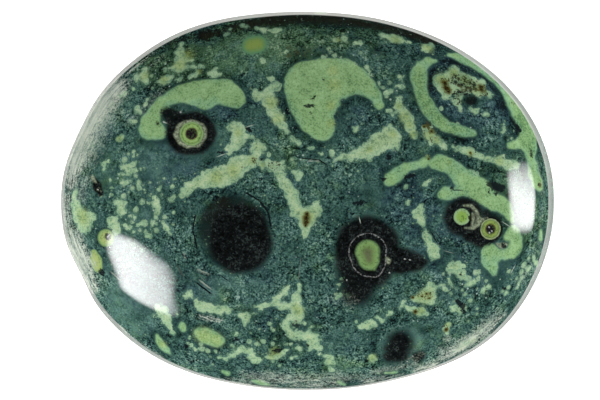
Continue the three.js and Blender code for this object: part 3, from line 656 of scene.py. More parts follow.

# %% [markdown]
# ## Uneven rock and worn places
# The rock between the markings isn't the same all over. Some of it is paler, bluer or smoother than the
# rest, or crowded with pale flecks, and iron has made it crumbly and brown in places. Along the top edge,
# which the lamps leave unlit, a painted shade darkens the rock. None of this has a crisp edge, so each is a
# soft share, as the halos are: balls that fade over a width. Along the rim the polish has worn, so the stone
# is greyish and half matt there, its paleness partly wear and partly painted sheen, and it is frosted with
# pale specks where the wear runs out.

# %% Lighter, darker, greener and bluer rock
# balls, fading width in mm, and how much lighter (above 0) or darker the rock between the markings is
SHADES = [
    ([(-22, 5, 4), (-18, 5.5, 3)], 3, .06), ([(-11, 19.5, 3.2), (-5, 20, 2.4)], 2.5, .14),
    ([(1.5, 20.5, 2), (7, 19.8, 2)], 2, .08), ([(-26, -14.2, 2.4), (-22.8, -16.8, 2.2)], 2.5, .11),
    ([(-15.5, -12.4, 1.1), (-12.5, -13.3, .9)], .8, .12), ([(-7, -12.5, 2), (-12, -11, 1.5)], 2.5, .09),
    ([(5.5, -20, 2.4), (5.5, -22.5, 2)], 2, .05), ([(9, 1, 2.5), (4, 3, 2)], 3, -.02),
    ([(-5, -1, 1.5)], 2, -.09),
    ([(17.2, 15.5, .7), (17.6, 17.6, .7), (19.3, 18.9, .7), (21.6, 18.5, .7), (24, 17.4, .7),
      (25.7, 15.9, .7), (26.6, 14, .8), (27, 12, .6)], .8, -.2), ([(20, -7.5, 2.5)], 2, -.08),
    ([(4, -2.5, 2)], 2, -.08), ([(20, 6.3, .8), (24, 4.7, .9), (26.5, 3.8, .8)], 1, -.16),
    ([(18, 9, .6), (21, 8, .6), (24, 7.6, .4)], .8, -.1),
    ([(-3.7, 13.4, .7), (-2.2, 11, .7), (-.6, 8.6, .8), (1.5, 7.4, .7)], .8, -.12),
    ([(-13, -.5, 2.2)], 2, -.13), ([(-22, 20, 1.8), (-16, 20.8, 1.8)], 2, -.12),
    ([(-22, 15.2, .8), (-19, 15.8, .8), (-15, 18.2, .7), (-9, 16.6, .8)], 1, -.12),
    # painted shade: this chain and the balls at (-14, 23.2), (14.5, 23), (-7.5, 24.4) darken the unlit top
    # edge
    ([(-14, 22.6, .6), (-9, 24.3, .8), (-5, 25, 1.1), (4, 25.1, 1.2), (12, 23.7, .9),
      (17, 21.9, .6)], 2.4, -.38), ([(-4.5, -18, 1.4)], 1.5, -.14),
    ([(12.6, -20, 3.2), (13, -19, 2.6)], .8, .06), ([(-7.3, 21.5, 2.2)], 1.5, .08),
    ([(9.2, -21.6, .4), (9.4, -18.4, .4), (12.6, -16.3, .4), (15.9, -17.9, .4),
      (16.4, -20.6, .4)], .7, -.14), ([(-10.4, -4.2, 4.9)], 1, -.2),
    ([(16, 16.6, .6), (16, 13.8, .6), (19.5, 10, .6)], .8, -.12), ([(24, -14, 3)], 3, -.05),
    ([(29.5, 11, 1.4), (30.6, 8, 1.4)], 1.2, -.32), ([(12, 0, 3), (2, -8, 2.5)], 3, -.05),
    ([(15.4, 17, 1.2), (15.8, 14.5, 1), (18, 11.2, 1), (21.5, 9.4, 1)], .8, -.12),
    ([(-14, 23.2, .8), (-19, 21.8, .5)], 1.2, -.2), ([(-20, 5, 2.5)], 3, .04), ([(-6, -1, 2)], 2, -.03),
    ([(24, 11.3, 1.5)], 1.5, -.06), ([(11, .5, 2)], 2, .04), ([(-14, -.5, 1.5)], 2, .05),
    ([(30.9, -4.5, .9), (30.7, -8, .9)], 2, .09), ([(-1.4, -15.4, .8)], .8, -.06),
    ([(24.5, -14.5, 1)], 2, .04), ([(14.6, -17.9, .5), (15.6, -18.9, .6), (15.9, -20, .5)], 1, .12),
    ([(12, -17.6, .5), (13.2, -17.2, .4)], .8, .05), ([(-22, -2.5, 2.5)], 2.5, .08),
    ([(-28.6, 10.5, 1.5)], 3, .08), ([(14.5, 23, .6), (19, 21.3, .6)], 1, -.15),
    ([(-7.5, 24.4, .8)], 1.2, -.12), ([(-28, -12, 2)], 2, .08),
]
# balls, fading width, and how much greener (above 0) or more slate blue the rock is
HUES = [
    ([(-21, 18, 3), (-10, 20.5, 4), (0, 21.5, 3.5), (8, 22.5, 2)], 5, .7), ([(15, 8, 2)], 3, .1),
    ([(-3, 5, 2)], 3, .5), ([(28, 3, 3), (30, -4, 3)], 4, .5), ([(-4, -20, 3)], 4, .4),
    ([(0, -24, 1), (10, -22, 1)], 3, .4),
    ([(17.2, 15.5, .9), (17.6, 17.6, .9), (19.3, 18.9, .9), (21.6, 18.5, .9), (24, 17.4, .9), (26, 15, 1.2),
      (26, 12, 1.6), (22, 11.5, 1.2), (18.5, 13, 1)], 1.2, -.7),
    ([(13, 0, 3), (19, -8, 2.5), (22, 8, 1)], 3, -.45), ([(-22, 5, 3), (-18, 5.5, 2.5)], 3, -.3),
    ([(-11, 12, 1.2), (-13, 12.5, .8)], 1, -.7), ([(7, 10.5, 2)], 2, -.3), ([(-15, -12.5, 2)], 2, -.4),
    ([(-2.3, 3, 1.2)], 1.5, -.6), ([(24, -10, 2.5)], 3, -.4), ([(-28.3, 10, 1.5)], 3, -.5),
    ([(-21.5, 10.2, 1.2), (-20.8, 12.3, .6)], 1.4, .7), ([(-15.6, 13.4, .6), (-13.2, 13.6, .8)], 1, -.6),
]
print("shades:", len(SHADES), "hues:", len(HUES))

# %% Calm, flecked and crumbly rock
# the rock is smooth and even here, as on the slab beside the left highlight
CALM = [
    ([(-22, 5.5, 3), (-18, 6.5, 2.5), (-13, 8, 2)], 3), ([(-16, -12.2, 1), (-12.5, -13.2, 1)], .6),
    ([(-25, -14, 3), (-23, -17, 2)], 2), ([(19.5, -8, 2)], 2), ([(9, 0, 2.5)], 3),
    ([(-14.5, -12.2, 2.5)], 1), ([(26, -9.5, 2.5)], 2),
    ([(-28.4, 12, 1.8), (-29.8, 8, 2.2), (-28, 2, 2)], 3.5), ([(15, -18.5, 1.5)], 2),
    # the chain along the top edge calms the grain under the painted shade there
    ([(-22.5, -2.5, 2.5)], 2), ([(-9, 24.2, .6), (-2, 25, 1), (4, 25, 1), (12, 23.6, .8)], 1.5),
    ([(-10.4, -4.2, 4.9)], 1),
]
# pale flecks crowd together here
FLECKS = [
    ([(-25, 2.5, 4)], 4), ([(22, -12, 4)], 4), ([(-5, -19, 3.5)], 4), ([(-14, -20.5, 2.5)], 3),
    ([(6, -12, 2)], 2), ([(-20, 17.5, 2)], 3), ([(10, 15.5, 2.5)], 3), ([(22, 10.5, 2)], 3),
    ([(29.5, -8, 1.5), (28, -12, 1.5)], 2), ([(0, 5, 2.5)], 3), ([(5, 20.5, 3)], 3), ([(-22, -2, 3)], 3),
]
# crumbly places, grained with dark brown: balls, fading width, and how dense the grains are
CRUMBLE = [
    ([(19, 16.1, .7), (19.3, 15.2, .6)], 1.4, 1), ([(24, 15.4, .8)], 1.4, 1),
    ([(20.3, 17, .9), (21.7, 16.1, 1.2), (23, 15.8, .8)], 1.6, .75),
    ([(20.4, 14.8, .7), (20.9, 13.6, .6)], 1.4, .5), ([(16.5, -12.9, 1), (15.2, -13.3, .5)], 1.2, .5),
    ([(14.9, -15.2, .5)], .8, .6), ([(19.1, -17.5, .5)], .8, .7), ([(-4.5, -20.8, .5)], .8, .6),
    ([(-7.4, 5.4, .6)], .8, .5), ([(-5, 5, .5), (-4, 4.9, .5)], .8, .5),
    ([(-2.5, 20.2, .7), (-.5, 20.5, .8), (.3, 20.9, .4)], 1.6, .55),
    ([(-1.4, 21.5, .6), (-3, 20.9, .4), (3.5, 21.2, .8)], 1.6, .36), ([(16.6, 10.1, .9)], 1, .7),
    ([(17.4, 8.6, .7)], 1.2, .45), ([(22.6, 6.7, .6)], 1, .5), ([(-18, 17.9, .5)], 1, .4),
    ([(9.8, 20.8, 1)], 1.5, .4), ([(7.6, 18.3, .5)], .8, .4), ([(30.8, 6.4, .5)], .8, .4),
    ([(25.9, 1.9, .8)], .8, .5), ([(24.6, -12.6, .6)], .8, .5), ([(28.3, 13.6, .4)], .8, .5),
    ([(-31.5, 5.2, .3)], .8, .4), ([(22.3, -2.3, .4)], .8, .9),
    ([(4.3, 12.3, .25), (4.9, 13.4, .25)], .7, .6), ([(-14, -18.2, .25)], .6, .5),
    ([(-20.5, 10.7, .5)], .8, .6), ([(20.6, 14.6, .6), (21.5, 15.2, .5)], 1, .8),
]
print("calm places:", len(CALM), "flecked ones:", len(FLECKS), "crumbly ones:", len(CRUMBLE))

# %% Worn and frosted places
# greyish, half matt places on the rim, paled by wear and painted sheen: balls, fading width, how pale they
# are
SCUFFS = [
    ([(-26.4, 15.6, 1.5), (-28.6, 13.2, 1.7), (-30.8, 9.8, 1.7), (-32.1, 6.2, 1.5), (-32.8, 3, .9)], 3, .95),
    ([(-27.6, 15, .3), (-29.9, 12, .5)], 1.4, 1.05), ([(-33.3, 0, 1), (-33.2, -3, 1)], 2.4, .68),
    ([(-32.7, -5, 1.5), (-31.4, -8.6, 2.1), (-29.9, -11.6, 1)], 3.2, .84),
    ([(-29, -14, .2), (-25, -18, .2), (-20, -21.5, .1)], 1, .6), ([(-25, 17.4, .1), (-21, 20.7, .1)], 1, .7),
    ([(-12, -24.6, .5), (-9, -25.2, .8), (-5, -25.1, 1.2), (0, -25.3, 1.2), (4, -25.3, .9)], 2.4, .36),
    ([(8, -24.9, .6), (13, -24.2, .6)], 1.6, .5), ([(15.5, -23.4, .9), (17.5, -22.6, .9)], 1.2, .65),
    ([(18.5, -21.8, .7), (21.2, -20.3, .9), (24.6, -17.9, .8), (27.2, -15.6, .2)], 2, .62),
    ([(30, -12.5, .1), (32, -9, .1), (33.4, -4, .1)], .8, .5),
    ([(-15, -15.8, .3), (-12.2, -16.3, .4)], .8, .55),
]
# rock frosted with pale specks
FROST = [
    ([(-26, 14.6, .8), (-28.4, 11.8, 1.8), (-30, 8.8, 1.9), (-30.8, 6, 1.5)], 4.5, 1),
    ([(-30.6, 3, 1), (-31.4, .5, .8)], 3, .75),
    ([(-31.6, -4.5, .6), (-30.2, -9, 1), (-28.6, -11.6, .6)], 3, .55),
    ([(18.5, -20.9, .7), (21.7, -19.5, .8), (24.7, -17.1, .8), (26.2, -15.3, .4)], 2.6, .9),
    ([(19.4, -19.1, .6)], 1.5, .9), ([(-24, 16.8, .5), (-20, 19.8, .4)], 1.8, .55),
    ([(-9, -24, .6), (-5, -24.3, .8), (4, -24.4, .8), (8, -24.2, .4)], 2.2, .75),
    ([(29.5, -11, .8), (31.5, -7, .5), (32.5, -1, .4)], 2.5, .5),
    ([(9, -23.6, .5), (15, -22.5, .5)], 1.8, .8), ([(5.8, -13.9, 1.2), (3.5, -13.5, .8)], 1.5, .35),
    ([(-20, 15.2, .6), (-24.5, 11, .8)], 2.5, .45), ([(31.8, 5, .5), (32.4, 1, .5)], 1.5, .4),
    ([(13, -22.7, .6), (15.6, -21.2, .5)], 1.2, .45),
]
print("worn places:", len(SCUFFS), "frosted ones:", len(FROST))

# %% [markdown]
# ## The underside and the sides
# The photograph doesn't show them. The same rock goes right through, so the same kinds of marking are strewn
# over the lower half by chance, from a fixed seed: chains that wander over the surface for the pale patches,
# part circles for the green crescents, and eyes with halos. They stay below the girth, where the camera
# doesn't see them.

# %% Wandering strokes
LOWEST_MARK_HEIGHT = 9.3        # random marks are centred under this height, in mm


def wander(start, stride, steps, turning):
    """A path over the surface: each step goes on in a tangent direction that turns a little at random."""
    path, heading = [start], rng.normal(size=3)
    for _ in range(steps):
        heading = heading / np.linalg.norm(heading) + turning * rng.normal(size=3)
        normal = normals[path[-1]]
        heading = heading - (heading @ normal) * normal
        target = points[path[-1]] + stride * heading / np.linalg.norm(heading)
        path.append(int(((points - target) ** 2).sum(axis=1).argmin()))
    return points[path]


def arc(start, radius, sweep, count=9):
    """Part of a circle round a point of the surface, in its tangent plane, dropped back onto the surface."""
    normal = normals[start]
    side = np.cross(normal, (0.3, 0.5, 0.81))
    side /= np.linalg.norm(side)
    turn = rng.uniform(0, 2 * np.pi) + np.linspace(0, sweep, count)[:, None]
    ring = points[start] + radius * (np.cos(turn) * side + np.sin(turn) * np.cross(normal, side))
    return points[[int(((points - place) ** 2).sum(axis=1).argmin()) for place in ring]]


print("marks below are centred under this height in mm:", LOWEST_MARK_HEIGHT)

# %% Markings below
CHAINS, DOTS = 42, 130                      # pale patches and pale flecks
ORBS, ORB_TRIES, ORB_APART = 9, 60, 12      # the last in mm

# the underside's points stand evenly, so a random point is a random place
below = np.flatnonzero(points[:, 2] < LOWEST_MARK_HEIGHT)
pale_below, green_below, halo_below, eyes_below = [], [], [], []
for start in rng.choice(below, CHAINS):
    path = wander(start, rng.uniform(0.9, 1.6), rng.integers(2, 6), 0.45)
    pale_below.append((path, rng.uniform(0.35, 1.0) * rng.uniform(0.6, 1.2, len(path))))
for start in rng.choice(below, DOTS):
    pale_below.append((points[[start]], np.array([rng.uniform(0.18, 0.45)])))

orbs = []
for candidate in rng.choice(below, ORB_TRIES):
    if len(orbs) < ORBS and all(np.linalg.norm(points[candidate] - points[orb]) > ORB_APART for orb in orbs):
        orbs.append(candidate)
# every orb has a black halo, two in three have a crescent, and two in three have an eye
for k, orb in enumerate(orbs):
    size = rng.uniform(1.4, 2.6)
    path = arc(orb, size * 2.1, rng.uniform(2.2, 3.6))
    if k % 3 != 2:
        bulge = np.sin(np.linspace(0.15, np.pi - 0.15, len(path)))
        green_below.append((path, 0.15 + rng.uniform(0.6, 1.3) * bulge))
    halo_below.append((points[[orb]], np.array([size * 1.5])))
    if k % 3 != 1:
        radius = size * 0.8
        eyes_below.append(((RINGED, YOLK)[k % 2], [(points[[orb]], np.array([radius]))], radius, 1.0))
print("orbs below:", len(orbs), "pale strokes below:", len(pale_below))

# %% [markdown]
# ## From strokes to numbers on the points
# The material can't see the strokes. So every point of the mesh carries a few numbers worked out from them:
# distances in mm from a patch's edge, which are below nought inside it, and shares from 0 to 1 for what
# fades. Blender runs them evenly across each triangle, which is about a quarter of a millimetre wide on the
# face.

# %% Put the numbers on the mesh's points
def carry(name, values):
    """Stores one number a point, as an attribute that the material reads."""
    mesh.attributes.new(name, "FLOAT", "POINT").data.foreach_set("value", np.asarray(values, np.float32))
    print(f"{name}: {values.min():.2f} to {values.max():.2f}")


def spot_field(spots):
    """The largest of the spots' bell curves, each 1 at its middle."""
    share = np.zeros(len(points))
    for (_, _, radius), centre in zip(spots, lift(spots)):
        share = np.maximum(share, np.exp(-((points - centre) ** 2).sum(axis=1) / radius**2))
    return share


def face_and_below(marks, strokes_below, blend):
    """The distance to the face's marks or to the strokes below, whichever is less."""
    face = stroke_distance(on_face(marks), blend, RIM_SQUASH)
    return np.minimum(face, stroke_distance(strokes_below, blend)) if strokes_below else face


green = np.maximum(face_and_below(GREEN, green_below, SMOOTH), -face_and_below(BITES, [], FINE))
# the halos below fade over 0.8 mm, and those on the face are each as black as they say
halo = np.clip(0.5 - stroke_distance(halo_below, 0.3) / 0.8, 0, 1)
for balls, fade, blackness in HALOS:
    halo = np.maximum(halo, blackness * soft_share(balls, fade))
way, kind = eye_fields([(k, on_face([balls]), r, RIM_SQUASH) for k, balls, r in EYES] + eyes_below)

carry("pale", face_and_below(PALE, pale_below, RAGGED))
carry("green", green)
carry("halo", halo)
carry("eye_way", way)
carry("eye_kind", kind)
carry("membrane", face_and_below(MEMBRANES, [], FINE))
carry("dark_rust", spot_field(DARK_RUST))
carry("tan", spot_field(TAN))
carry("black", face_and_below(BLACK, [], FINE))
carry("glint", spot_field(GLINTS))
for name, values in zip(("line_offset", "line_sureness", "line_pale"), line_fields(LINES)):
    carry(name, values)
# shades and hues add up, and of the others the largest counts. A zone that says no amount has 1
for name, zones in {"shade": SHADES, "hue": HUES}.items():
    carry(name, sum(amount * soft_share(balls, fade) for balls, fade, amount in zones))
for name, zones in {
    "calm": CALM, "flecks": FLECKS, "crumble": CRUMBLE, "scuff": SCUFFS, "frost": FROST,
}.items():
    carry(name, np.max([(most or [1])[0] * soft_share(balls, fade) for balls, fade, *most in zones], axis=0))

# %% Streaks along the rim
# noise on this vector is drawn out along the rim: it turns slowly round the stone, on a circle as wide as
# this, and runs quickly with the way in from the outline, one step in as many mm as a streak is wide
ROUND_RADIUS, STREAK_WIDTH = 12, 0.22

turn = np.arctan2(points[:, 1], points[:, 0])
inwards = reach(turn, 1.0) - np.hypot(points[:, 0], points[:, 1])
rim_place = np.stack([
    np.cos(turn) * ROUND_RADIUS, np.sin(turn) * ROUND_RADIUS, inwards / STREAK_WIDTH,
], axis=1)
rim_vectors = mesh.attributes.new("rim_place", "FLOAT_VECTOR", "POINT").data
rim_vectors.foreach_set("vector", rim_place.astype(np.float32).ravel())
print("a streak in mm, across and along:", STREAK_WIDTH, round(girth_length / (2 * np.pi * ROUND_RADIUS), 1))

# %% [markdown]
# ## The material: polished jasper
# Jasper is microcrystalline quartz, here full of fine green needles and grains, ground and tumbled to a
# gloss. It is opaque, with quartz's index of refraction of 1.54, so it mirrors the lamps sharply over a rock
# texture that lies under the polish. The rock is built up in layers, each laid over the last: the dark
# groundmass, pale flecks and patches, green bands, halos, membranes and eyes, then stains, lines and wear.
#
# One function adds every node. The steps that come again and again are recipes for it: Blender's node, the
# sockets that a row of inputs goes into, the output and the settings.

# %% Nodes and colours
RECIPES = {
    "times": ("ShaderNodeMath", (0, 1), 0, {"operation": "MULTIPLY"}),
    "less": ("ShaderNodeMath", (0, 1), 0, {"operation": "SUBTRACT"}),
    "times plus": ("ShaderNodeMath", (0, 1, 2), 0, {"operation": "MULTIPLY_ADD"}),
    # as the first goes from low to high, this goes smoothly from one value to another and stops at both ends
    "between": ("ShaderNodeMapRange", ("Value", "From Min", "From Max", "To Min", "To Max"), 0,
                {"interpolation_type": "SMOOTHSTEP"}),
    # the colour below, the mask, and the colour that lies over it where the mask is 1
    "over": ("ShaderNodeMix", (6, 0, 7), 2, {"data_type": "RGBA"}),
    "ramp": ("ShaderNodeValToRGB", ("Fac",), 0, {}),
}


def linear(hex_colour, alpha=1.0):
    """An sRGB hex colour as linear red, green, blue and alpha."""
    srgb = np.array([int(hex_colour[k : k + 2], 16) for k in (1, 3, 5)]) / 255
    return (*np.where(srgb <= 0.04045, srgb / 12.92, ((srgb + 0.055) / 1.055) ** 2.4), alpha)


def add(kind, inputs, output=0, stops=(), tree=None, **settings):
    """Adds a node, to the rock if no tree is given, and returns one of its outputs.

    The kind is one of Blender's, with a dictionary of inputs, or a recipe, with a row of them. An input is a
    socket to link or a value to set. Stops are a colour ramp's, from low to high."""
    if kind in RECIPES:
        kind, sockets, output, settings = RECIPES[kind]
        inputs = dict(zip(sockets, inputs))
    tree = tree or rock
    node = tree.nodes.new(kind)
    for name, value in settings.items():
        setattr(node, name, value)
    for k, (position, *colour) in enumerate(stops):
        elements = node.color_ramp.elements
        if k == 0:
            elements.remove(elements[1])
        element = elements.new(position) if k else elements[0]
        element.position, element.color = position, linear(*colour)
    for name, value in inputs.items():
        if isinstance(value, bpy.types.NodeSocket):
            tree.links.new(value, node.inputs[name])
        else:
            node.inputs[name].default_value = value
    return node.outputs[output] if node.outputs else node


def empty_material(name):
    """A new material and its tree, with no nodes in it."""
    material = bpy.data.materials.new(name)
    material.use_nodes = True
    material.node_tree.nodes.clear()
    return material, material.node_tree


jasper, rock = empty_material("polished_jasper")
number = {name: add("ShaderNodeAttribute", {}, "Fac", attribute_name=name)
          for name in mesh.attributes.keys() if mesh.attributes[name].data_type == "FLOAT"}
print("numbers the material reads:", sorted(number))

# %% [markdown]
# ### Coordinates and grain
# Every pattern reads Object coordinates in millimetres, so it goes through the stone as a rock's does. Four
# sizes of noise are shared by the layers: drifts and clouds of a few millimetres, mottling of about half a
# millimetre, and grain. All of them are shifted to swing about nought. The real needles are a few hundredths
# of a millimetre thick, too fine for the picture, so the grain is drawn as coarse as the finest that it can
# show.

# %% Shared noises
DRIFT_MM, CLOUD_MM, MOTTLE_MM, GRAIN_MM = 7.0, 2.4, 0.62, 0.24

place = add("ShaderNodeVectorMath", {0: add("ShaderNodeTexCoord", {}, "Object"), "Scale": 1 / MM},
            operation="SCALE")


def swing(size_mm, detail, roughness, distortion=0.0):
    """Noise of one size in mm, less a half, so from about -0.3 to 0.3."""
    noise = add("ShaderNodeTexNoise", {"Vector": place, "Scale": 1 / size_mm, "Detail": detail,
                                       "Roughness": roughness, "Distortion": distortion})
    return add("less", (noise, 0.5))


def blend_of(base, *terms):
    """The base, a number or a socket, plus weight times socket for each (socket, weight) of the terms."""
    for socket, weight in terms:
        base = add("times plus", (socket, weight, base))
    return base


def lay(colour, *layers):
    """The colour with each (mask, colour) of the layers laid over it in turn."""
    for mask, above in layers:
        colour = add("over", (colour, mask, above))
    return colour


drift = swing(DRIFT_MM, 2.0, 0.5)
cloud = swing(CLOUD_MM, 3.0, 0.6)
mottle = swing(MOTTLE_MM, 3.0, 0.65, 0.6)
grain = swing(GRAIN_MM, 2.0, 0.6)
print("sizes of the noises in mm:", DRIFT_MM, CLOUD_MM, MOTTLE_MM, GRAIN_MM)

# %% [markdown]
# ### Groundmass
# The dark teal rock between the markings is a felt of needles: it looks mottled and grainy, nearly black in
# places and grey-green in others. One number, its lightness, is the sum of the noises and the listed shades,
# one of which is a painted shade along the unlit top edge, where the colour also turns brownish black. Three
# colour ramps turn it into the rock's own colours, a teal, a mossy and a slate blue one, and the hue chooses
# among them. Calm zones have less grain, and a darker rind follows the green bands.

# %% Groundmass
calmness = add("between", (number["calm"], 0.0, 1.0, 1.0, 0.42))
ebb = add("between", (swing(3.4, 1.0, 0.5), -0.16, 0.16, 0.7, 1.3))
near_green = add("between", (number["green"], 0.2, 1.2, 0.6, 1.0))
liveliness = add("times", (add("times", (calmness, ebb)), near_green))
texture = add("times", (blend_of(0.0, (mottle, 1.6), (grain, 1.45)), liveliness))
rind = blend_of(add("between", (number["green"], 0.15, 1.3, -0.12, 0.0)),
                (add("between", (number["pale"], 0.1, 0.9, -0.06, 0.0)), 1.0))
clot_depth = add("between", (number["calm"], 0.0, 1.0, -0.24, -0.08))
clots = add("between", (blend_of(cloud, (mottle, 0.8)), 0.06, 0.28, 0.0, clot_depth))
lightness = blend_of(0.475, (texture, 1.0), (rind, 1.0), (clots, 1.0), (number["shade"], 1.0), (cloud, 0.75),
                     (drift, 0.35), (number["frost"], 0.07))
teal, moss, slate = (add("ramp", (lightness,), stops=stops) for stops in (
    [(0.0, "#070d0e"), (0.25, "#19302c"), (0.5, "#35534c"), (0.74, "#55776d"), (1.0, "#96aea2")],
    [(0.0, "#080e09"), (0.25, "#1c3121"), (0.5, "#38553e"), (0.74, "#587a5d"), (1.0, "#98ae90")],
    [(0.0, "#080d11"), (0.25, "#1b2f34"), (0.5, "#355052"), (0.74, "#577474"), (1.0, "#9cafad")],
))
hue = blend_of(number["hue"], (drift, 1.3), (swing(1.6, 1.0, 0.5), 1.6), (mottle, 0.6))
# where the shades are darkest, above all the painted shade along the unlit top edge, the rock is brownish
# black
darkest_tone_and_painted_shade = add("between", (number["shade"], -0.38, -0.14, 0.62, 0.0))
colour = lay(teal, (add("between", (hue, 0.0, 0.9)), moss),
             (add("between", (hue, -0.8, 0.0, 1.0, 0.0)), slate), (darkest_tone_and_painted_shade, linear("#201e17")))
print("nodes up to the groundmass:", len(rock.nodes))

# %% [markdown]
# ### Flecks and patches
# Pale flecks are cells of a Voronoi pattern, each a ball of its own size cut by the surface, and still
# smaller specks come from a finer one. A patch's edge is where the point's distance is nought. The pale
# patches grew as lumps, like a cauliflower's head, so another Voronoi pattern is added to their distance
# before it is compared: every cell swells out as a round lobe. The green bands are smooth, so theirs is only
# moved a little. A thin bluish seam softens every edge.

# %% Flecks
FLECK_MM, SPECK_MM = 0.95, 0.62


def strewn(apart_mm, size, crowded, least, soft, most, *ragged):
    """1 inside balls of many sizes, one to a Voronoi cell: where the distance is below the ball's size.

    The size is the cell's random number times (size + crowded * flecks), less the least, so some vanish."""
    cells = add("ShaderNodeTexVoronoi", {"Vector": place, "Scale": 1 / apart_mm})
    share = blend_of(size, (number["flecks"], crowded))
    ball = add("times plus", (cells.node.outputs["Color"], share, -least))
    return add("between", (add("less", (blend_of(cells, *ragged), ball)), *soft, most, 0.0))


fleck_mask = strewn(FLECK_MM, 0.28, 0.5, 0.13, (-0.12, 0.08), 0.8, (grain, 0.9), (mottle, 0.5))
speck_mask = strewn(SPECK_MM, 0.36, 0.12, 0.2, (-0.08, 0.1), 0.85)
print("flecks and specks stand this far apart in mm:", FLECK_MM, SPECK_MM)


# %% Edges and colours of the patches
def edge_mask(distance, ragged_mm, soft_mm, most=1.0):
    """1 inside an edge and 0 outside, over a soft width, after the noises have moved it by some mm."""
    moved = blend_of(distance, (mottle, ragged_mm), (grain, ragged_mm * 0.6))
    return add("between", (moved, -soft_mm / 2, soft_mm / 2, most, 0.0))


def share_mask(share, low, high, most=1.0):
    """Follows a share of 0 to 1. The noises only scale the share, so they add nothing where it is nought."""
    uneven = blend_of(1.0, (mottle, 1.8), (grain, 1.4))
    return add("between", (add("times", (share, uneven)), low, high, 0.0, most))


LOBE_MM = 0.8
lobes = add("less", (add("ShaderNodeTexVoronoi", {"Vector": place, "Scale": 1 / LOBE_MM}), 0.42))
pale_tone = blend_of(0.46, (mottle, 1.1), (grain, 1.1), (cloud, 0.6), (number["shade"], 0.5))
pale_colour, warm_colour, tan_colour = (add("ramp", (pale_tone,), stops=stops) for stops in (
    [(0.2, "#64876e"), (0.38, "#86a683"), (0.6, "#9bb592"), (0.85, "#b9c9a4")],
    [(0.2, "#68794a"), (0.38, "#889c6a"), (0.6, "#9fb07c"), (0.85, "#bcc596")],
    [(0.3, "#6d8347"), (0.5, "#869b5c"), (0.75, "#9fb37a")],
))
green_tone = blend_of(0.48, (mottle, 0.9), (grain, 1.3), (cloud, 0.7), (number["shade"], 0.6))
green_colour, cool_green = (add("ramp", (green_tone,), stops=stops) for stops in (
    [(0.15, "#54774e"), (0.4, "#799b69"), (0.6, "#84a776"), (0.85, "#9bbc88")],
    [(0.15, "#4c7355"), (0.4, "#6f9872"), (0.6, "#7ca381"), (0.85, "#93b994")],
))
# a patch is warmer in its core, and a green band is cooler towards its edge
core = add("between", (blend_of(number["pale"], (cloud, 1.8)), -1.0, -0.15, 0.4, 0.0))
coolness = blend_of(number["green"], (swing(1.9, 1.0, 0.5), 2.6), (number["hue"], -1.0))
cool = add("between", (coolness, -0.9, 0.25, 0.0, 0.9))
pale_edge = blend_of(number["pale"], (lobes, 0.55), (cloud, 0.35))
green_edge = blend_of(0.07, (number["green"], 1.0), (lobes, 0.15), (cloud, 0.45))
# some patches are thin, so the rock shows through them
thickness = add("between", (blend_of(cloud, (mottle, 0.9), (number["pale"], -0.35)), -0.2, 0.12, 0.78, 1.0))
pepper = add("between", (blend_of(grain, (mottle, 0.5)), 0.14, 0.24, 0.0, 0.38))
seam = linear("#5d8673")
colour = lay(
    colour,
    (speck_mask, linear("#9cb3a8")),
    (fleck_mask, pale_colour),
    (edge_mask(blend_of(pale_edge, (mottle, 0.4)), 0.6, 0.8, 0.45), seam),
    (add("times", (edge_mask(pale_edge, 1.1, 0.2), thickness)), lay(pale_colour, (core, warm_colour))),
    (edge_mask(green_edge, 0.5, 0.8, 0.5), seam),
    (edge_mask(green_edge, 0.5, 0.3), lay(green_colour, (cool, cool_green))),
    (share_mask(number["tan"], 0.1, 1.0, 0.65), tan_colour),
    (pepper, linear("#3f5a3c")),
)
print("nodes up to the patches:", len(rock.nodes))

# %% [markdown]
# ### Halos and membranes
# Each eye lies in a black halo, into which the green needles grew from outside, so its edge is frayed. Noise
# added to the halo's share would speckle its middle too. So the noises are scaled by the share times one
# less the share, and count most where the halo is half black. Membranes are thin grey-green shells round the
# eyes.

# %% Frayed halos and thin membranes
fraying = add("times", (number["halo"], blend_of(4.0, (number["halo"], -4.0))))
fray = add("times", (fraying, blend_of(0.0, (mottle, 1.5), (grain, 1.3), (cloud, 1.1))))
halo_colour = add("ramp", (blend_of(0.5, (mottle, 0.9), (grain, 1.0), (cloud, 0.5)),), stops=[
    (0.28, "#050606"), (0.55, "#121515"), (0.9, "#34403d"),
])
membrane_colour = add("ramp", (blend_of(0.5, (grain, 1.4), (mottle, 0.6)),), stops=[
    (0.28, "#535b49"), (0.55, "#8a967c"), (0.85, "#b8bfa5"),
])
colour = lay(
    colour,
    (add("between", (blend_of(fray, (number["halo"], 1.0)), 0.08, 0.9)), halo_colour),
    (edge_mask(number["membrane"], 0.45, 0.34, 0.85), membrane_colour),
)
print("nodes up to the halos:", len(rock.nodes))

# %% [markdown]
# ### Colours of the eyes
# An eye grew shell by shell, so it is a set of rings: a dark middle, a green disc, thin lines between. The
# way out from its middle goes through a colour ramp, one for each kind of eye, and the noises move it a
# little, because the real rings aren't quite round.

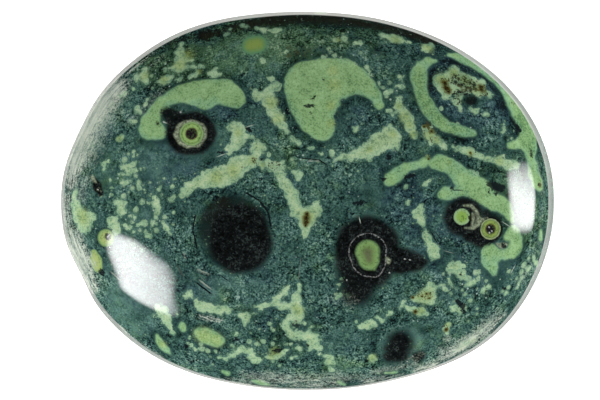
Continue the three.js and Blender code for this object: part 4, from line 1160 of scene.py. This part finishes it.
# %% One ramp for each kind of eye
# the ramps cover the way from 0 to 2, so a position is half the way out; alpha 0 lets the rock show
eye_place = add("times", (blend_of(number["eye_way"], (mottle, 0.16), (grain, 0.1)), 0.5))
EYE_RAMPS = {
    TARGET: [(0.0, "#191219"), (0.19, "#1d161a"), (0.245, "#4b4a33"), (0.28, "#83a15d"), (0.34, "#8dab6b"),
             (0.39, "#7b9b55"), (0.415, "#56713b"), (0.44, "#82a168"), (0.5, "#74905f"),
             (0.525, "#101516", 0), (1.0, "#0d1213", 0)],
    YOLK: [(0.0, "#565848"), (0.13, "#5d6647"), (0.26, "#68844e"), (0.38, "#73935b"), (0.455, "#56734a"),
           (0.52, "#1c261b", 0), (0.665, "#121613", 0), (0.69, "#6a6d6b", 0.8), (0.705, "#8d8f8e"),
           (0.72, "#666a68", 0.8), (0.745, "#101516", 0), (1.0, "#0d1213", 0)],
    SPOT: [(0.0, "#759848"), (0.28, "#7a9c4c"), (0.42, "#8aa878"), (0.49, "#7c9a72"), (0.54, "#1a201c", 0),
           (1.0, "#3f5d50", 0)],
    LIME: [(0.0, "#96a468"), (0.28, "#90a163"), (0.42, "#7f9a62"), (0.5, "#5e7c4e"), (0.56, "#3f5d50", 0),
           (1.0, "#3f5d50", 0)],
    OLIVE: [(0.0, "#7e944b"), (0.25, "#78914d"), (0.4, "#6a8c55"), (0.56, "#55835f", 0.95),
            (0.8, "#3f6250", 0), (1.0, "#3f5d50", 0)],
    RINGED: [(0.0, "#17131a"), (0.2, "#1b161b"), (0.25, "#56562f"), (0.3, "#7f954c"), (0.4, "#6f8648"),
             (0.425, "#4c5f38"), (0.45, "#8b9870"), (0.49, "#7f8c68"), (0.52, "#101516", 0),
             (1.0, "#0d1213", 0)],
}
# beyond its disc, the left out parts of an eye's ring show the halo
gaps = add("between", (number["eye_way"], 1.1, 1.25, 1.0, 0.1))
wholeness = add("between", (blend_of(grain, (mottle, 0.8)), -0.12, 0.08, gaps, 1.0))
for eye_kind, stops in EYE_RAMPS.items():
    ramp = add("ramp", (eye_place,), stops=stops).node
    this_kind = add("ShaderNodeMath", {0: number["eye_kind"], 1: float(eye_kind), 2: 0.5},
                    operation="COMPARE")
    shown = add("times", (add("times", (ramp.outputs["Alpha"], this_kind)), wholeness))
    colour = lay(colour, (shown, ramp.outputs["Color"]))
# dark grains inside the discs, but few in the olive one, whose kind is the highest
in_disc = add("between", (number["eye_way"], 0.85, 1.05, 0.62, 0.0))
not_olive = add("between", (number["eye_kind"], OLIVE - 0.6, OLIVE - 0.4, 1.0, 0.25))
eye_grains = add("between", (blend_of(grain, (mottle, 0.8)), 0.0, 0.2, 0.0,
                             add("times", (in_disc, not_olive))))
colour = lay(colour, (eye_grains, linear("#41592f")))
print("kinds of eye:", len(EYE_RAMPS))

# %% [markdown]
# ### Stains, crumbs, glints and thin lines
# Iron has stained some patches brown, and near them the rock is crumbly, with dark brown grains between the
# pale ones. Black spots are crisp. Glints are tiny grains of clear quartz. Thin lines are healed cracks,
# darker or paler than the rock, and the pale ones beside dark cracks and pits are painted highlights on
# their lit edges. They lie across everything else, so they are laid on last.

# %% Rust, crumbs, black spots, glints and thin lines
rust_colour = add("ramp", (blend_of(0.5, (grain, 1.2), (mottle, 0.8)),), stops=[
    (0.25, "#100d03"), (0.55, "#281f08"), (0.85, "#5f582a"),
])
crumb_colour = add("ramp", (blend_of(0.5, (lobes, 0.6), (cloud, 0.8)),), stops=[
    (0.25, "#0b0f0c"), (0.55, "#1d2013"), (0.85, "#474726"),
])
# pale lines beside dark cracks and pits are painted highlights on their lit edges
line_colour = add("ramp", (number["line_pale"],), stops=[(0.0, "#0f1718"), (1.0, "#a9b9ab")])
crumbs = add("between", (blend_of(grain, (mottle, 1.3), (number["crumble"], 0.5)), 0.2, 0.46, 0.0, 0.95))
crumbly = add("between", (number["crumble"], 0.0, 0.35))
# a line is where its offset lies between -1 and 1, its half widths
offset = blend_of(number["line_offset"], (mottle, 1.5))
line_near, line_far = add("between", (offset, -1.0, -0.5)), add("between", (offset, 0.5, 1.0, 1.0, 0.0))
line_mask = add("times", (add("times", (line_near, line_far)), number["line_sureness"]))
colour = lay(
    colour,
    (add("times", (crumbs, crumbly)), crumb_colour),
    (share_mask(number["dark_rust"], 0.03, 0.35, 0.7), linear("#5f6234")),
    (share_mask(number["dark_rust"], 0.2, 0.8), rust_colour),
    (edge_mask(number["black"], 0.9, 0.2, 0.92), linear("#10161a")),
    (add("between", (number["glint"], 0.3, 0.9)), linear("#a2a8a3")),
    (line_mask, line_colour),
)
print("nodes up to the thin lines:", len(rock.nodes))

# %% [markdown]
# ### Wear and gloss
# Where the rim is worn, fine scratches make the rock hazy and pale, streaked along the rim, and it only half
# shines. Its pale colour there is partly this wear and partly a painted sheen, the lamps and the white table
# caught at a slant. Where the wear runs out it is frosted with pale specks. Elsewhere the polish is nearly a
# mirror, and a very low bump keeps its reflections from being quite perfect.

# %% Worn places and gloss
streaks = add("ShaderNodeTexNoise", {
    "Vector": add("ShaderNodeAttribute", {}, "Vector", attribute_name="rim_place"),
    "Scale": 1.0, "Detail": 2.0,
})
# as with the halos, the noises count most where the stone is half worn
half_worn = add("times", (number["scuff"], blend_of(4.0, (number["scuff"], -4.0))))
raggedness = add("times", (half_worn, blend_of(-0.6, (grain, 1.4), (mottle, 1.2), (streaks, 1.2))))
wear = blend_of(raggedness, (number["scuff"], 1.0))
# the worn rim's pale colour is partly wear and partly painted sheen of the lamps and the table, caught at a
# slant
wear_and_sheen_colour = add("ramp", (blend_of(-0.2, (streaks, 1.4), (grain, 0.7), (mottle, 0.4)),), stops=[
    (0.25, "#7f9187"), (0.5, "#a7b1a4"), (0.75, "#c4cabb"),
])
specked = blend_of(add("times", (number["frost"], 0.55)), (grain, 1.1), (mottle, 0.7))
frost_mask = add("times", (add("between", (specked, 0.08, 0.8, 0.0, 0.66)),
                           add("between", (number["frost"], 0.0, 0.3))))
wear_and_sheen_mask = add("between", (wear, 0.05, 1.1, 0.0, 0.92))
colour = lay(colour, (wear_and_sheen_mask, wear_and_sheen_colour), (frost_mask, linear("#a5af9f")))

POLISHED, WORN = 0.06, 0.3             # roughness
QUARTZ_IOR = 1.54
roughness = add("between", (number["scuff"], 0.2, 1.0, POLISHED, WORN))
bump = add("ShaderNodeBump", {"Height": mottle, "Strength": 0.05, "Distance": 0.01 * MM})
surface = add("ShaderNodeBsdfPrincipled", {"Base Color": colour, "Roughness": roughness, "IOR": QUARTZ_IOR,
                                           "Normal": bump})
add("ShaderNodeOutputMaterial", {"Surface": surface})
mesh.materials.append(jasper)
print("nodes in the jasper:", len(rock.nodes))

# %% [markdown]
# ## Table
# The stone was photographed on a white, brightly lit table, which comes out pure white round it. Only a
# patch of the table close round the stone is mirrored in its belt, less brightly. So the table is two
# sheets: a matt one, glowing a little, that the camera sees, and one close round the stone that only shows
# in the polish.

# %% Table
TABLE_SIZE, TABLE_DEPTH = 3000.0, 0.05      # mm, and how far under the stone's seat it lies
PATCH_MARGIN, PATCH_DEPTH = 9.0, 0.01       # how far the mirrored patch reaches beyond the stone
PATCH_CORNERS = 96


def sheet(name, corners, material):
    """A flat sheet through corners that are given in mm, anticlockwise as seen from its front."""
    flat = bpy.data.meshes.new(name)
    flat.from_pydata(np.asarray(corners, float) * MM, [], [range(len(corners))])
    flat.materials.append(material)
    thing = bpy.data.objects.new(name, flat)
    scene.collection.objects.link(thing)
    return thing


def only_mirrored(thing):
    """Leaves a thing to the glossy rays alone, so that it shows in the polish and nowhere else."""
    thing.visible_camera = thing.visible_diffuse = thing.visible_shadow = False


paper, tree = empty_material("white_table")
add("ShaderNodeOutputMaterial", {"Surface": add("ShaderNodeBsdfPrincipled", {
    "Base Color": linear("#f4f4f2"), "Roughness": 0.9,
    "Emission Color": (1, 1, 1, 1), "Emission Strength": 0.95,
}, tree=tree)}, tree=tree)
half = TABLE_SIZE / 2
corners = [(x, y, -TABLE_DEPTH) for x, y in ((-half, -half), (half, -half), (half, half), (-half, half))]
table = sheet("table", corners, paper)
table.visible_glossy = False

mirrored, tree = empty_material("mirrored_table")
white_glow = add("ShaderNodeEmission", {"Color": linear("#f6f4ee"), "Strength": 1.0}, tree=tree)
add("ShaderNodeOutputMaterial", {"Surface": white_glow}, tree=tree)
turns = np.linspace(0, 2 * np.pi, PATCH_CORNERS, endpoint=False)
patch_reach = reach(turns, 1.0) + PATCH_MARGIN
patch = sheet("table_mirrored", np.stack([patch_reach * np.cos(turns), patch_reach * np.sin(turns),
                                          np.full(PATCH_CORNERS, -PATCH_DEPTH)], axis=1), mirrored)
only_mirrored(patch)
print("mirrored patch in mm:", 2 * patch_reach[0], "long")

# %% [markdown]
# ## Lamps
# Two softboxes stand low: one at the lower left, whose slanted mirror image lies on the stone, and a tall
# one at the right. Each is an area lamp that lights the rock, and a glowing sheet at the same place that
# only shows in the polish. The sheet dims towards its rim and towards one side, as the cloth of a softbox
# does. Above the stone it is dark, so its blacks stay black.

# %% Softboxes
LAMP_DISTANCE = 550.0
BRIGHT_TO, DARK_FROM = 0.08, 1.1           # the cloth dims between these values of u^4 + v^4
FADE_FROM, FADE_TO = -0.3, 1.0             # and towards one side between these, from the middle to the edge


def softbox(name, aim, azimuth, from_vertical, size, roll, watts, glow, fade, fade_towards):
    """A lamp in a direction given by two angles in degrees, turned about its own axis by the roll.

    Its mirror image glows inside the curve u^4 + v^4 = 1, and dims to a share, the fade, on one side."""
    a, v = np.radians(azimuth), np.radians(from_vertical)
    towards = Vector((np.sin(v) * np.cos(a), np.sin(v) * np.sin(a), np.cos(v)))
    turn = towards.to_track_quat("Z", "Y").to_matrix().to_4x4() @ Matrix.Rotation(np.radians(roll), 4, "Z")
    stand = Matrix.Translation((Vector(aim) + towards * LAMP_DISTANCE) * MM) @ turn

    lamp = bpy.data.lights.new(name, "AREA")
    lamp.shape, lamp.size, lamp.size_y, lamp.energy = "RECTANGLE", size[0] * MM, size[1] * MM, watts
    light = bpy.data.objects.new(name, lamp)
    light.matrix_world = stand
    light.visible_camera = light.visible_glossy = False
    scene.collection.objects.link(light)

    cloth, weave = empty_material(name + "_cloth")
    middle = add("ShaderNodeTexCoord", {}, "Object", tree=weave)
    uv = add("ShaderNodeVectorMath", {0: middle, 1: (2 / (size[0] * MM), 2 / (size[1] * MM), 0)}, tree=weave,
             operation="MULTIPLY")
    powers = uv
    for _ in range(2):
        powers = add("ShaderNodeVectorMath", {0: powers, 1: powers}, tree=weave, operation="MULTIPLY")
    rim, along = (
        add("ShaderNodeVectorMath", {0: one, 1: other}, "Value", tree=weave, operation="DOT_PRODUCT")
        for one, other in ((powers, (1, 1, 0)), (uv, fade_towards))
    )
    shape = add("between", (rim, BRIGHT_TO, DARK_FROM, glow, 0.0), tree=weave)
    dimming = add("between", (along, FADE_FROM, FADE_TO, 1.0, fade), tree=weave)
    glowing = add("ShaderNodeEmission", {"Strength": add("times", (shape, dimming), tree=weave)}, tree=weave)
    add("ShaderNodeOutputMaterial", {"Surface": glowing}, tree=weave)
    w, h = size[0] / 2, size[1] / 2
    image = sheet(name + "_image", [(-w, -h, 0), (-w, h, 0), (w, h, 0), (w, -h, 0)], cloth)
    image.matrix_world = stand
    only_mirrored(image)
    print(f"{name}: {size[0]} by {size[1]} mm, {watts} W")


softbox("lamp_left", (-23, -9.5, 19.5), 214.1, 54.3, (288, 286), 40, 3.2, 19, 0.65, (1, 0, 0))
softbox("lamp_right", (29.2, 0, 18.7), 1, 73, (270, 330), 4, 3.2, 19, 0.45, (1, -0.4, 0))

# %% Room
ROOM_FILL = 0.35

world = bpy.data.worlds.new("room")
scene.world = world
world.use_nodes = True
background = world.node_tree.nodes["Background"].inputs
background["Color"].default_value, background["Strength"].default_value = (1, 1, 1, 1), ROOM_FILL
world.cycles_visibility.glossy = False
scene.view_settings.view_transform = "Standard"
print("light from all round:", ROOM_FILL)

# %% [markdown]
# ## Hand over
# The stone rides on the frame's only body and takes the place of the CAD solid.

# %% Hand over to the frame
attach(stone, "root")
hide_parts("kambaba_palm_stone")
